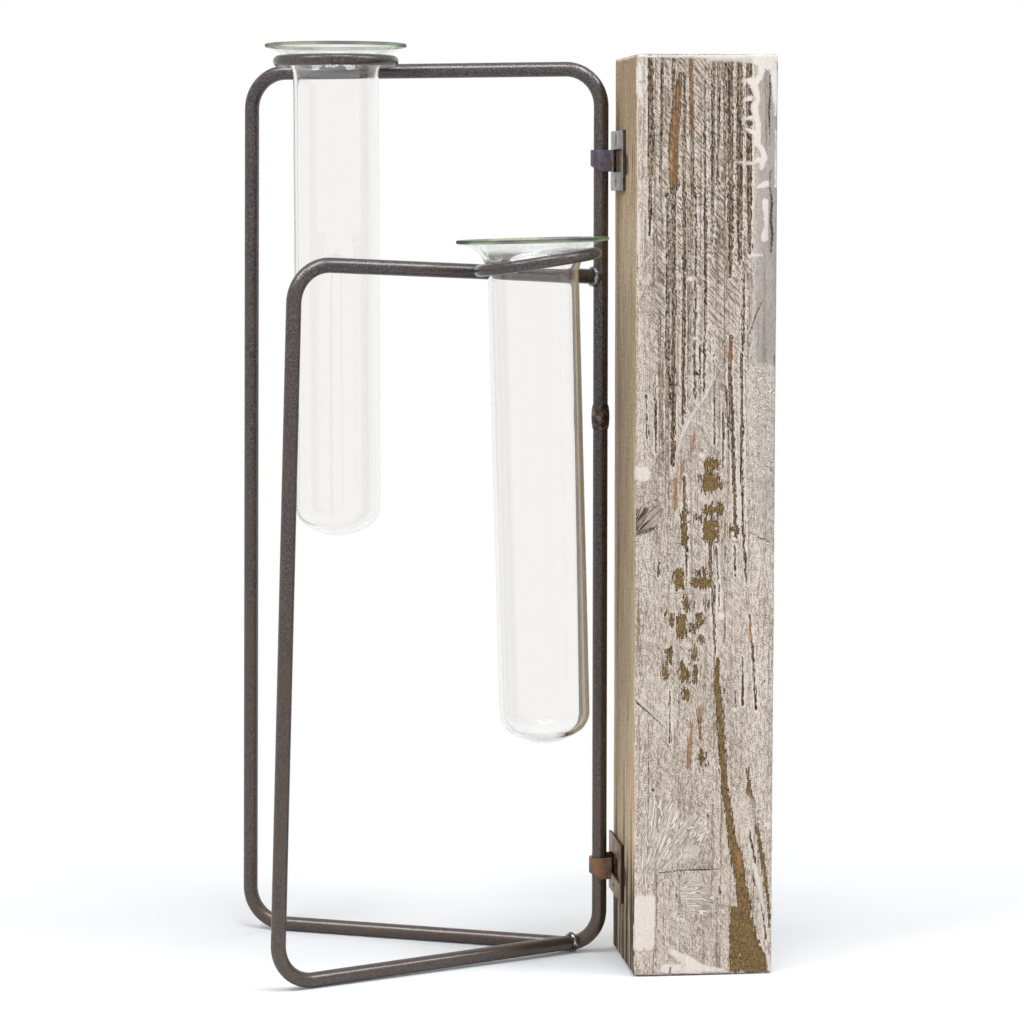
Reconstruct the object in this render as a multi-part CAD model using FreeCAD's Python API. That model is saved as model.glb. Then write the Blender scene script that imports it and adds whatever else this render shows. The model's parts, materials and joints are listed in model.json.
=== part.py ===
import FreeCAD, Part
import math
import os

# Test tube vase: a whitewashed timber post, a welded rod frame hinged to its left side, and two glass tubes
# that hang in rings on the frame. Lengths are in millimetres and angles in degrees. The pieces are laid out
# about the hinge axis, with x to the right, y to the back and z up from the floor. At the end they are moved
# so that the origin is on the floor under the middle of the whole object.

# Timber post
post_height = 305.0
post_width = 47.0
post_depth = 48.0
post_edge_radius = 0.8

# Where the hinge axis stands
axis_to_post = 6.3
axis_setback = 36.7
hinge_clearance = 0.05

# Rods of the frame
rod_diameter = 5.0
bend_radius = 12.5

# Back loop, a closed rectangle that has the hinge axis as its right upright
back_swing_angle = 24.2
back_top_reach = 125.9
back_bottom_reach = 128.9
back_loop_height = 303.7

# Front loop, three sides of a rectangle welded to the back loop
front_swing_angle = 21.5
front_top_reach = 112.7
front_bottom_reach = 120.5
front_left_height = 239.7
front_right_height = 234.2
front_end_bend_angle = 25.0

# Rings that hold the tubes, on the viewer's side of each loop's top bar
ring_outer_diameter = 42.2
ring_rod_diameter = 3.8
ring_climb_angle = 35.0
ring_joint_gap = 0.2
upper_ring_reach = 86.2
lower_ring_reach = 36.5
lower_ring_side_tilt = 7.8
lower_ring_front_tilt = 4.0

# Glass tubes
tube_wall = 1.2
tube_length = 165.8
tube_flare_radius = 11.0
tube_dome_share = 0.7
tube_shoulder_radius = 8.0
tube_seat_gap = 0.3
upper_tube_diameter = 29.0
upper_rim_diameter = 47.7
lower_tube_diameter = 29.8
lower_rim_diameter = 50.0
lower_tube_lean = 1.5
lower_tube_side_shift = -1.5
lower_tube_lift = 1.2

# Hinge plates
plate_width = 28.0
plate_height = 20.0
plate_thickness = 1.0
upper_plate_drop = 33.1
lower_plate_middle = 30.0
window_height = 7.6
knuckle_narrow_height = 5.2
knuckle_tail_length = 3.7
tongue_root_setback = 9.0
tongue_side_clearance = 0.2

# Screws of the hinge plates
screw_head_diameter = 4.4
screw_shank_diameter = 2.2
screw_length = 14.0
screw_tip_length = 3.0
screw_slot_width = 0.6
screw_slot_depth = 0.4
screw_setback = 2.0
screw_clearance = 0.05

# Weld beads
closing_weld_middle = 184.5
closing_weld_length = 8.4
closing_weld_bulge = 0.6
closing_weld_lip = 0.15
end_bead_radius = 1.0
ring_bead_radius = 1.9
ring_bead_spacing = 1.7
ring_bead_count = 3

# One overrun serves every cutting shape
overrun = 2.0

V = FreeCAD.Vector
UP = V(0, 0, 1)
RIGHT = V(1, 0, 0)
BACK = V(0, 1, 0)
FULL_TURN = 360

rod_radius = rod_diameter / 2
ring_rod_radius = ring_rod_diameter / 2
ring_wire_radius = ring_outer_diameter / 2 - ring_rod_radius
post_left = axis_to_post
post_front = -axis_setback
plate_outer = axis_to_post - plate_thickness
upper_plate_middle = back_loop_height - upper_plate_drop


def leftward(angle):
    """Give the level direction that runs left from the hinge axis, turned to the back by an angle."""
    turn = math.radians(angle)
    return V(-math.cos(turn), math.sin(turn), 0)


back_way = leftward(back_swing_angle)
front_way = leftward(-front_swing_angle)


def bent_path(points, closed):
    """Join points by straight runs, with a tangent arc of the bend radius at each corner."""
    count = len(points)
    corners = range(count) if closed else range(1, count - 1)
    starts = {}
    ends = {}
    arcs = {}
    for index in corners:
        corner = points[index]
        before = (points[index - 1] - corner).normalize()
        after = (points[(index + 1) % count] - corner).normalize()
        half_turn = (math.pi - before.getAngle(after)) / 2
        if half_turn == 0:
            continue
        setback = bend_radius * math.tan(half_turn)
        inward = (before + after).normalize()
        starts[index] = corner + before * setback
        ends[index] = corner + after * setback
        middle = corner + inward * (bend_radius / math.cos(half_turn) - bend_radius)
        arcs[index] = Part.Arc(starts[index], middle, ends[index]).toShape()
    edges = []
    runs = count if closed else count - 1
    for index in range(runs):
        following = (index + 1) % count
        run_start = ends.get(index, points[index])
        run_end = starts.get(following, points[following])
        edges.append(Part.LineSegment(run_start, run_end).toShape())
        if following in arcs:
            edges.append(arcs[following])
    return Part.Wire(edges)


def rod_along(path, start, way):
    """Sweep the rod's round section along a path that starts at a point in a direction."""
    section = Part.Wire([Part.makeCircle(rod_radius, start, way)])
    return path.makePipeShell([section], True, False)


def extruded(points, sweep):
    """Make a solid from the corners of a flat face and the vector that it is swept along."""
    outline = Part.makePolygon(points + [points[0]])
    return Part.Face(outline).extrude(sweep)


def largest_solid(shape):
    """Keep the largest solid of a shape that a cut may have left in several."""
    return max(shape.Solids, key=lambda solid: solid.Volume)


# The frame


def back_loop_shape():
    """Bend the closed back loop, which starts and ends at its butt weld on the hinge axis."""
    top = back_loop_height - rod_radius
    start = V(0, 0, closing_weld_middle)
    points = [
        start,
        V(0, 0, top),
        back_way * back_top_reach + UP * top,
        back_way * back_bottom_reach + UP * rod_radius,
        V(0, 0, rod_radius),
    ]
    return rod_along(bent_path(points, True), start, UP)


def front_bar_top():
    """Give the right end and the left corner of the front loop's top bar."""
    right_end = V(0, 0, front_right_height - rod_radius)
    left_corner = front_way * front_top_reach + UP * (front_left_height - rod_radius)
    return right_end, left_corner


def front_bar_end():
    """Give the point on the back loop's lower right bend where the front loop's bottom bar ends."""
    turn = math.radians(front_end_bend_angle)
    along = bend_radius - bend_radius * math.sin(turn)
    height = rod_radius + bend_radius - bend_radius * math.cos(turn)
    return back_way * along + UP * height


def front_loop_shape(back_loop):
    """Bend the open front loop, and cope both of its ends to the back loop."""
    right_end, left_corner = front_bar_top()
    bottom_corner = front_way * front_bottom_reach + UP * rod_radius
    points = [right_end, left_corner, bottom_corner, front_bar_end()]
    rod = rod_along(bent_path(points, False), right_end, left_corner - right_end)
    return largest_solid(rod.cut(back_loop))


def closing_weld_shape():
    """Turn the swollen bead round the upright where the back loop's two ends were butt welded."""
    half = closing_weld_length / 2
    lip = rod_radius + closing_weld_lip
    crest = rod_radius + closing_weld_bulge
    foot_in = V(rod_radius, 0, closing_weld_middle - half)
    foot_out = V(lip, 0, closing_weld_middle - half)
    head_out = V(lip, 0, closing_weld_middle + half)
    head_in = V(rod_radius, 0, closing_weld_middle + half)
    edges = [
        Part.LineSegment(foot_in, foot_out).toShape(),
        Part.Arc(foot_out, V(crest, 0, closing_weld_middle), head_out).toShape(),
        Part.LineSegment(head_out, head_in).toShape(),
        Part.LineSegment(head_in, foot_in).toShape(),
    ]
    return Part.Face(Part.Wire(edges)).revolve(V(0, 0, 0), UP, FULL_TURN)


def end_weld_shape(end, way, back_loop, front_loop):
    """Make the bead round the front loop's coped end, where a bar comes to a point from a direction."""
    away = way.normalize()
    centre = end + away * (rod_radius + end_bead_radius / 2)
    bead = Part.makeTorus(rod_radius, end_bead_radius, centre, away)
    return largest_solid(bead.cut(back_loop).cut(front_loop))


# The rings


class Ring:
    """A ring welded to a loop's top bar, with its place and tilt worked out from the bar."""

    def __init__(self, bar_right, bar_left, reach, side_tilt, front_tilt):
        bar_way = (bar_left - bar_right).normalize()
        level_way = V(bar_way.x, bar_way.y, 0).normalize()
        self.forward = V(-level_way.y, level_way.x, 0)
        self.bar_way = bar_way
        self.bar_point = bar_right + bar_way * (reach / V(bar_way.x, bar_way.y, 0).Length)
        self.side_tilt = side_tilt
        self.front_tilt = front_tilt
        spacing = rod_radius + ring_rod_radius + ring_joint_gap
        climb = math.radians(ring_climb_angle)
        self.joint_way = self.forward * math.cos(climb) + UP * math.sin(climb)
        back_point = self.bar_point + self.joint_way * spacing
        lean = math.radians(front_tilt)
        to_centre = self.forward * math.cos(lean) + UP * math.sin(lean)
        self.centre = back_point + to_centre * ring_wire_radius

    def shape(self):
        """Make the ring, tilted about its own middle."""
        ring = Part.makeTorus(ring_wire_radius, ring_rod_radius, self.centre, UP)
        ring.rotate(self.centre, UP.cross(self.bar_way), self.side_tilt)
        ring.rotate(self.centre, UP.cross(self.forward), -self.front_tilt)
        return ring

    def weld(self, ring_shape, loop_shape):
        """Lay a row of overlapping drops in the groove between the ring and its bar."""
        groove_way = (UP * math.cos(math.radians(ring_climb_angle))
                      - self.forward * math.sin(math.radians(ring_climb_angle)))
        middle = self.bar_point + self.joint_way * (rod_radius + ring_joint_gap / 2) + groove_way * ring_bead_radius
        first = -(ring_bead_count - 1) / 2
        bead = None
        for index in range(ring_bead_count):
            place = middle + self.bar_way * ((first + index) * ring_bead_spacing)
            drop = Part.makeSphere(ring_bead_radius, place)
            bead = drop if bead is None else bead.fuse(drop)
        return largest_solid(bead.removeSplitter().cut(loop_shape).cut(ring_shape))


def back_bar_top():
    """Give the right and left ends of the back loop's top bar."""
    height = UP * (back_loop_height - rod_radius)
    return height, back_way * back_top_reach + height


upper_ring = Ring(*back_bar_top(), upper_ring_reach, 0, 0)
lower_ring = Ring(*front_bar_top(), lower_ring_reach, lower_ring_side_tilt, lower_ring_front_tilt)


# The glass


class Tube:
    """A blown tube with a flattened dome for a bottom and a rim that flares out over its ring."""

    def __init__(self, ring, diameter, rim_diameter, lean, side_shift, lift):
        self.radius = diameter / 2
        self.lean = lean
        flare_middle = self.radius + tube_flare_radius
        rim_offset = rim_diameter / 2 - flare_middle
        lip = tube_wall / 2
        span = math.hypot(lip, tube_flare_radius + lip)
        self.flare_turn = math.atan2(tube_flare_radius + lip, lip) + math.asin(rim_offset / span)
        inside = tube_flare_radius - ring_rod_radius - tube_seat_gap
        drop = math.sqrt(inside ** 2 - (flare_middle - ring_wire_radius) ** 2)
        self.pivot = ring.centre + RIGHT * side_shift
        self.flare_start = ring.centre.z - drop + lift
        self.top = self.flare_start + (tube_flare_radius + lip) * math.sin(self.flare_turn) + lip
        self.bottom = self.top - tube_length
        self.dome_height = self.radius * tube_dome_share
        turn = math.radians(lean)
        self.way = V(-math.sin(turn), 0, math.cos(turn))

    def flare_point(self, reach, turn):
        """Give a point of the flare's profile, at a distance from the flare's own centre."""
        flare_middle = self.radius + tube_flare_radius
        return V(flare_middle - reach * math.cos(turn), 0, self.flare_start + reach * math.sin(turn))

    def dome(self, inset):
        """Make the profile of the dome, a crown and a shoulder, from the axis to the wall at an inset into it."""
        crown_radius = ((self.radius - tube_shoulder_radius) ** 2 + self.dome_height ** 2
                        - tube_shoulder_radius ** 2) / (2 * (self.dome_height - tube_shoulder_radius))
        crown_middle = V(0, 0, self.bottom + crown_radius)
        shoulder_middle = V(self.radius - tube_shoulder_radius, 0, self.bottom + self.dome_height)
        meeting_way = (shoulder_middle - crown_middle).normalize()
        crown_way = (meeting_way - UP).normalize()
        shoulder_way = (meeting_way + RIGHT).normalize()
        crown = crown_radius - inset
        shoulder = tube_shoulder_radius - inset
        pole = crown_middle - UP * crown
        meeting = crown_middle + meeting_way * crown
        wall_foot = shoulder_middle + RIGHT * shoulder
        return pole, wall_foot, [
            Part.Arc(pole, crown_middle + crown_way * crown, meeting).toShape(),
            Part.Arc(meeting, shoulder_middle + shoulder_way * shoulder, wall_foot).toShape(),
        ]

    def shape(self):
        """Turn the wall's closed profile about the axis, then lean the tube about its ring's middle."""
        outer_pole, outer_wall_foot, outer_dome = self.dome(0)
        inner_pole, inner_wall_foot, inner_dome = self.dome(tube_wall)
        half = self.flare_turn / 2
        lip_reach = tube_flare_radius + tube_wall / 2
        lip_middle = self.flare_point(lip_reach, self.flare_turn)
        beyond = V(math.sin(self.flare_turn), 0, math.cos(self.flare_turn))
        outer_end = self.flare_point(tube_flare_radius, self.flare_turn)
        inner_end = self.flare_point(tube_flare_radius + tube_wall, self.flare_turn)
        outer_start = self.flare_point(tube_flare_radius, 0)
        inner_start = self.flare_point(tube_flare_radius + tube_wall, 0)
        edges = [
            *outer_dome,
            Part.LineSegment(outer_wall_foot, outer_start).toShape(),
            Part.Arc(outer_start, self.flare_point(tube_flare_radius, half), outer_end).toShape(),
            Part.Arc(outer_end, lip_middle + beyond * (tube_wall / 2), inner_end).toShape(),
            Part.Arc(inner_end, self.flare_point(tube_flare_radius + tube_wall, half), inner_start).toShape(),
            Part.LineSegment(inner_start, inner_wall_foot).toShape(),
            *inner_dome,
            Part.LineSegment(inner_pole, outer_pole).toShape(),
        ]
        profile = Part.Face(Part.Wire(Part.__sortEdges__(edges)))
        tube = profile.revolve(V(0, 0, 0), UP, FULL_TURN)
        tube.translate(V(self.pivot.x, self.pivot.y, 0))
        tube.rotate(self.pivot, BACK, -self.lean)
        return tube


upper_tube = Tube(upper_ring, upper_tube_diameter, upper_rim_diameter, 0, 0, 0)
lower_tube = Tube(lower_ring, lower_tube_diameter, lower_rim_diameter, lower_tube_lean, lower_tube_side_shift,
                  lower_tube_lift)


# The hinge plates and the post


def screw_places(plate_middle):
    """Give the middles of a plate's two screw heads, above and below its window."""
    band_middle = (window_height + plate_height) / 4
    return [V(plate_outer, screw_setback, plate_middle + side * band_middle) for side in (-1, 1)]


def screw_body(place, clearance):
    """Make a countersunk screw, or the hole that it fits with a clearance all round."""
    head = Part.makeCone(screw_head_diameter / 2 + clearance, screw_shank_diameter / 2 + clearance,
                         plate_thickness, place, RIGHT)
    shank_length = screw_length - plate_thickness - screw_tip_length
    shank_start = place + RIGHT * plate_thickness
    shank = Part.makeCylinder(screw_shank_diameter / 2 + clearance, shank_length, shank_start, RIGHT)
    tip_start = shank_start + RIGHT * shank_length
    tip = Part.makeCone(screw_shank_diameter / 2 + clearance, 0, screw_tip_length + clearance, tip_start, RIGHT)
    return head.fuse([shank, tip]).removeSplitter()


def screw_shape(place):
    """Make one screw with its driving slot."""
    slot_corner = place - RIGHT * overrun - BACK * screw_head_diameter - UP * (screw_slot_width / 2)
    slot = Part.makeBox(overrun + screw_slot_depth, 2 * screw_head_diameter, screw_slot_width, slot_corner)
    return screw_body(place, 0).cut(slot)


def tongue_path():
    """Work out where the tongue's straight run from the plate meets its roll round the rod, seen from above."""
    roll_radius = rod_radius + hinge_clearance + plate_thickness / 2
    root = V(axis_to_post - plate_thickness / 2, tongue_root_setback, 0)
    distance = root.Length
    meeting_angle = math.atan2(root.y, root.x) + math.acos(roll_radius / distance)
    meeting = V(roll_radius * math.cos(meeting_angle), roll_radius * math.sin(meeting_angle), 0)
    return root, meeting, meeting_angle, roll_radius


def tongue_length():
    """Give the tongue's length when flat, which is the length of the window that it was cut from."""
    root, meeting, meeting_angle, roll_radius = tongue_path()
    front_angle = 3 * math.pi / 2
    return (root - meeting).Length + roll_radius * (front_angle - meeting_angle) + knuckle_tail_length


def tongue_shape(plate_middle):
    """Roll the tongue from the plate's far side round the rod to a short straight tail in front of it."""
    root, meeting, meeting_angle, roll_radius = tongue_path()
    half = plate_thickness / 2
    low = UP * (plate_middle - window_height / 2)
    height = UP * window_height
    way = (meeting - root).normalize()
    side = V(-way.y, way.x, 0)
    start = root - way * half
    run = extruded([start - side * half + low, meeting - side * half + low,
                    meeting + side * half + low, start + side * half + low], height)
    outer = Part.makeCylinder(roll_radius + half, window_height, low, UP)
    inner = Part.makeCylinder(roll_radius - half, window_height, low, UP)
    far = plate_width
    towards_meeting = V(math.cos(meeting_angle), math.sin(meeting_angle), 0)
    kept = extruded([low, towards_meeting * far + low, V(-far, 0, 0) + low, V(-far, -far, 0) + low,
                     V(0, -far, 0) + low], height)
    roll = outer.cut(inner).common(kept)
    tail = Part.makeBox(knuckle_tail_length, plate_thickness, window_height, V(0, -roll_radius - half, 0) + low)
    return run.fuse([roll, tail]).removeSplitter()


def tongue_taper(plate_middle):
    """Make the wedge that narrows the tongue from below towards the rod's left side."""
    top = plate_middle + window_height / 2 - tongue_side_clearance
    low_at_plate = plate_middle - window_height / 2 + tongue_side_clearance
    low_at_rod = top - knuckle_narrow_height
    left = -rod_radius - hinge_clearance - plate_thickness
    depth = plate_width
    points = [V(left - overrun, -depth, top), V(axis_to_post, -depth, top), V(axis_to_post, -depth, low_at_plate),
              V(0, -depth, low_at_plate), V(left, -depth, low_at_rod), V(left - overrun, -depth, low_at_rod)]
    return extruded(points, BACK * (2 * depth))


def hinge_plate_shape(plate_middle):
    """Make a plate with the window and the rolled tongue that was cut from it, and its two screw holes."""
    foot = plate_middle - plate_height / 2
    plate = Part.makeBox(plate_thickness, plate_width, plate_height, V(plate_outer, -plate_width / 2, foot))
    window_start = V(plate_outer - overrun, tongue_root_setback - tongue_length(), plate_middle - window_height / 2)
    window = Part.makeBox(plate_thickness + 2 * overrun, tongue_length(), window_height, window_start)
    tongue = tongue_shape(plate_middle).common(tongue_taper(plate_middle))
    plate = plate.cut(window).fuse(tongue).removeSplitter()
    holes = [screw_body(place, screw_clearance) for place in screw_places(plate_middle)]
    behind = Part.makeBox(post_width, post_depth, plate_height, V(axis_to_post, -post_depth / 2, foot))
    return largest_solid(plate.cut(holes).cut(behind))


def post_shape():
    """Make the sawn post with its edges worn round, and the pilot holes of the plate screws."""
    post = Part.makeBox(post_width, post_depth, post_height, V(post_left, post_front, 0))
    worn = [edge for edge in post.Edges if edge.CenterOfMass.z > 0]
    post = post.makeFillet(post_edge_radius, worn)
    places = screw_places(upper_plate_middle) + screw_places(lower_plate_middle)
    return post.cut([screw_body(place, screw_clearance) for place in places])


def build():
    """Make every piece about the hinge axis, under the name of its file."""
    back_loop = back_loop_shape()
    front_loop = front_loop_shape(back_loop)
    upper_ring_shape = upper_ring.shape()
    lower_ring_shape = lower_ring.shape()
    right_end, left_corner = front_bar_top()
    bottom_corner = front_way * front_bottom_reach + UP * rod_radius
    bar_end = front_bar_end()
    return {
        "timber_post": post_shape(),
        "upper_hinge_plate": hinge_plate_shape(upper_plate_middle),
        "lower_hinge_plate": hinge_plate_shape(lower_plate_middle),
        "upper_plate_screws": Part.Compound([screw_shape(p) for p in screw_places(upper_plate_middle)]),
        "lower_plate_screws": Part.Compound([screw_shape(p) for p in screw_places(lower_plate_middle)]),
        "back_loop": back_loop,
        "front_loop": front_loop,
        "closing_weld": closing_weld_shape(),
        "front_top_weld": end_weld_shape(right_end, left_corner - right_end, back_loop, front_loop),
        "front_bottom_weld": end_weld_shape(bar_end, bottom_corner - bar_end, back_loop, front_loop),
        "upper_ring": upper_ring_shape,
        "lower_ring": lower_ring_shape,
        "upper_ring_weld": upper_ring.weld(upper_ring_shape, back_loop),
        "lower_ring_weld": lower_ring.weld(lower_ring_shape, front_loop),
        "upper_test_tube": upper_tube.shape(),
        "lower_test_tube": lower_tube.shape(),
    }


pieces = build()
bounds = Part.Compound(list(pieces.values())).optimalBoundingBox(False, False)
origin_shift = V(-bounds.Center.x, -bounds.Center.y, 0)

os.makedirs("parts", exist_ok=True)
for name, shape in pieces.items():
    shape.translate(origin_shift)
    shape.exportStep(os.path.join("parts", name + ".step"))
    print(name, len(shape.Solids), "solid", round(shape.Volume, 2), "mm3", "valid", shape.isValid())
print("hinge axis at", round(origin_shift.x, 4), round(origin_shift.y, 4))
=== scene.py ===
import json
import logging
import math
from dataclasses import dataclass, field
from enum import Enum
from typing import Any, Iterable, Sequence

import bmesh
import bpy
import numpy as np
from mathutils import Matrix, Vector


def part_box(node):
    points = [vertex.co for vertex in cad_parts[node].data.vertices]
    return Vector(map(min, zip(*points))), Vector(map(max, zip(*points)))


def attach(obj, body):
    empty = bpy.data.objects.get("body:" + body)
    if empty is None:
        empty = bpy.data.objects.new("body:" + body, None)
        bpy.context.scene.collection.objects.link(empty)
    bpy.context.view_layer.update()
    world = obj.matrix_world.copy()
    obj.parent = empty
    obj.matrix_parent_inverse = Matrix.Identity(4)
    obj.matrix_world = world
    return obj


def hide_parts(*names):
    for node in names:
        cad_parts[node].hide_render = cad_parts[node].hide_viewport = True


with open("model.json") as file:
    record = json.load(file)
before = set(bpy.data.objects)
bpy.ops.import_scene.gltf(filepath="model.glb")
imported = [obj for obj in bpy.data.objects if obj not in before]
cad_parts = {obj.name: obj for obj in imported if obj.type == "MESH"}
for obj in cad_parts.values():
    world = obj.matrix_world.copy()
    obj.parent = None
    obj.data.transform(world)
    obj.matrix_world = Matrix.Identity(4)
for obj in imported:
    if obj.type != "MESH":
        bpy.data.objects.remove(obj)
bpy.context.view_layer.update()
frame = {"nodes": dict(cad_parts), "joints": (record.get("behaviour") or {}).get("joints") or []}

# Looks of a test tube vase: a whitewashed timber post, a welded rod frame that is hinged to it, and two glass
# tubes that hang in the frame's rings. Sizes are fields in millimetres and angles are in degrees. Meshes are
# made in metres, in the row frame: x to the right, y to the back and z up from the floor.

MM = 0.001
UP = Vector((0, 0, 1))
RIGHT = Vector((1, 0, 0))
BACK = Vector((0, 1, 0))
MERGE_DISTANCE = 0.0005
TINY = 1e-9
log = logging.getLogger("test_tube_vase")


# Small helpers


def tone(red: float, green: float, blue: float) -> tuple[float, float, float, float]:
    """Give the linear colour of a screen colour.

    Args:
        red: Red from 0 to 255.
        green: Green from 0 to 255.
        blue: Blue from 0 to 255.

    Returns:
        Linear red, green and blue, and full alpha.
    """
    parts = [channel / 255 for channel in (red, green, blue)]
    linear = [part / 12.92 if part <= 0.04045 else ((part + 0.055) / 1.055) ** 2.4 for part in parts]
    return (*linear, 1.0)


def middle_of(node: str) -> Vector:
    """Give the middle of a CAD node's box, in millimetres."""
    low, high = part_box(node)
    return (low + high) / 2 / MM


def mesh_piece(name: str, points: Iterable[Sequence[float]], faces: Iterable[Sequence[int]],
               edges: Iterable[Sequence[int]] = (), smooth: bool = True) -> bpy.types.Object:
    """Make a mesh object from points in millimetres.

    Args:
        name: The piece's name.
        points: Its points, in millimetres in the row frame.
        faces: Its faces, as rows of point numbers.
        edges: Its loose edges, as pairs of point numbers.
        smooth: Whether its faces are shaded smooth.

    Returns:
        The object, linked to the scene.
    """
    mesh = bpy.data.meshes.new(name)
    mesh.from_pydata([tuple(value * MM for value in point) for point in points], list(edges), list(faces))
    mesh.validate()
    mesh.shade_smooth() if smooth else mesh.shade_flat()
    piece = bpy.data.objects.new(name, mesh)
    bpy.context.scene.collection.objects.link(piece)
    return piece


def hold(piece: bpy.types.Object, name: str, numbers: Sequence[float], domain: str = "POINT") -> None:
    """Store one number for each point of a piece, or for each face in the domain FACE."""
    held = piece.data.attributes.new(name, "FLOAT", domain)
    held.data.foreach_set("value", np.asarray(numbers, dtype=np.float32))


def settled(source: bpy.types.Object, name: str) -> bpy.types.Object:
    """Turn an object with live modifiers into a plain mesh object, and delete the first.

    Args:
        source: The object whose modifiers make the shape.
        name: The new piece's name.

    Returns:
        The plain piece.
    """
    shaped = source.evaluated_get(bpy.context.evaluated_depsgraph_get())
    mesh = bpy.data.meshes.new_from_object(shaped)
    bpy.data.objects.remove(source)
    mesh.name = name
    piece = bpy.data.objects.new(name, mesh)
    bpy.context.scene.collection.objects.link(piece)
    return piece


def outward_faces(piece: bpy.types.Object) -> bpy.types.Object:
    """Turn a closed piece's faces outwards.

    Args:
        piece: The piece, whose doubled points are merged too.

    Returns:
        The same piece.
    """
    shape = bmesh.new()
    shape.from_mesh(piece.data)
    bmesh.ops.remove_doubles(shape, verts=shape.verts, dist=2 * MERGE_DISTANCE * MM)
    bmesh.ops.recalc_face_normals(shape, faces=shape.faces)
    shape.to_mesh(piece.data)
    shape.free()
    piece.data.shade_smooth()
    return piece


def cad_copy(node: str, finish: bpy.types.Material, flat_angle: float = 0.0) -> bpy.types.Object:
    """Copy a CAD node's mesh, with its doubled points merged.

    Args:
        node: The CAD node.
        finish: The copy's material.
        flat_angle: The angle up to which neighbouring faces are joined, in degrees. At 0 none are.

    Returns:
        The copy, linked to the scene.
    """
    mesh = frame["nodes"][node].data.copy()
    shape = bmesh.new()
    shape.from_mesh(mesh)
    bmesh.ops.remove_doubles(shape, verts=shape.verts, dist=MERGE_DISTANCE * MM)
    if flat_angle:
        bmesh.ops.dissolve_limit(shape, angle_limit=math.radians(flat_angle), verts=shape.verts,
                                 edges=shape.edges)
    shape.to_mesh(mesh)
    shape.free()
    mesh.materials.clear()
    mesh.materials.append(finish)
    copy = bpy.data.objects.new(f"{node}_copy", mesh)
    bpy.context.scene.collection.objects.link(copy)
    return copy


def circle(radius: float, count: int, height: float = 0.0) -> list[tuple[float, float, float]]:
    """Give evenly spaced points round a level circle about the z axis."""
    turns = (math.tau * index / count for index in range(count))
    return [(radius * math.cos(turn), radius * math.sin(turn), height) for turn in turns]


class Surface(Enum):
    """The record's material slots."""

    TIMBER = "whitewashed_timber"
    ROD = "dark_rod"
    PLATE = "plate_steel"
    SCREW = "screw_steel"
    WELD = "weld_metal"
    GLASS = "clear_glass"


class Body(Enum):
    """The bodies that pieces ride on."""

    POST = "post"
    FRAME = "frame"
    UPPER_TUBE = "upper_tube"
    LOWER_TUBE = "lower_tube"


def place(piece: bpy.types.Object, body: Body, node: str) -> bpy.types.Object:
    """Report a finished piece, and say what it rides on and which CAD node it stands for.

    Args:
        piece: The finished piece.
        body: The body that it rides on.
        node: The CAD node that it replaces.

    Returns:
        The same piece.
    """
    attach(piece, body.value)
    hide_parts(node)
    piece.data.calc_loop_triangles()
    log.info("%s: %d triangles on %s", piece.name, len(piece.data.loop_triangles), body.value)
    return piece


# Node trees


class Value:
    """A number in a node tree, on which arithmetic adds Math nodes."""

    def __init__(self, graph: "Graph", socket: bpy.types.NodeSocket) -> None:
        """Wrap an output socket of a graph."""
        self.graph = graph
        self.socket = socket

    def math(self, operation: str, *operands: Any) -> "Value":
        """Add a Math node, whose operands are values or numbers."""
        node = self.graph.add("ShaderNodeMath", {"operation": operation}, dict(enumerate(operands)))
        return Value(self.graph, node.outputs[0])

    def __add__(self, other: Any) -> "Value":
        """Add."""
        return self.math("ADD", self, other)

    __radd__ = __add__

    def __sub__(self, other: Any) -> "Value":
        """Subtract."""
        return self.math("SUBTRACT", self, other)

    def __rsub__(self, other: Any) -> "Value":
        """Subtract from a number."""
        return self.math("SUBTRACT", other, self)

    def __mul__(self, other: Any) -> "Value":
        """Multiply."""
        return self.math("MULTIPLY", self, other)

    __rmul__ = __mul__

    def __truediv__(self, other: Any) -> "Value":
        """Divide."""
        return self.math("DIVIDE", self, other)

    def __pow__(self, other: Any) -> "Value":
        """Raise to a power."""
        return self.math("POWER", self, other)

    def least(self, other: Any) -> "Value":
        """Take the smaller of two."""
        return self.math("MINIMUM", self, other)

    def most(self, other: Any) -> "Value":
        """Take the larger of two."""
        return self.math("MAXIMUM", self, other)

    def size(self) -> "Value":
        """Take the value without its sign."""
        return self.math("ABSOLUTE", self)

    def over(self, low: float, high: float) -> "Value":
        """Map a range smoothly onto 0 to 1, held at its ends.

        Args:
            low: Where the range starts.
            high: Where it ends, which may be below its start.

        Returns:
            The mapped value.
        """
        node = self.graph.add("ShaderNodeMapRange", {"interpolation_type": "SMOOTHSTEP"},
                              {"Value": self, "From Min": low, "From Max": high})
        return Value(self.graph, node.outputs[0])


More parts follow.
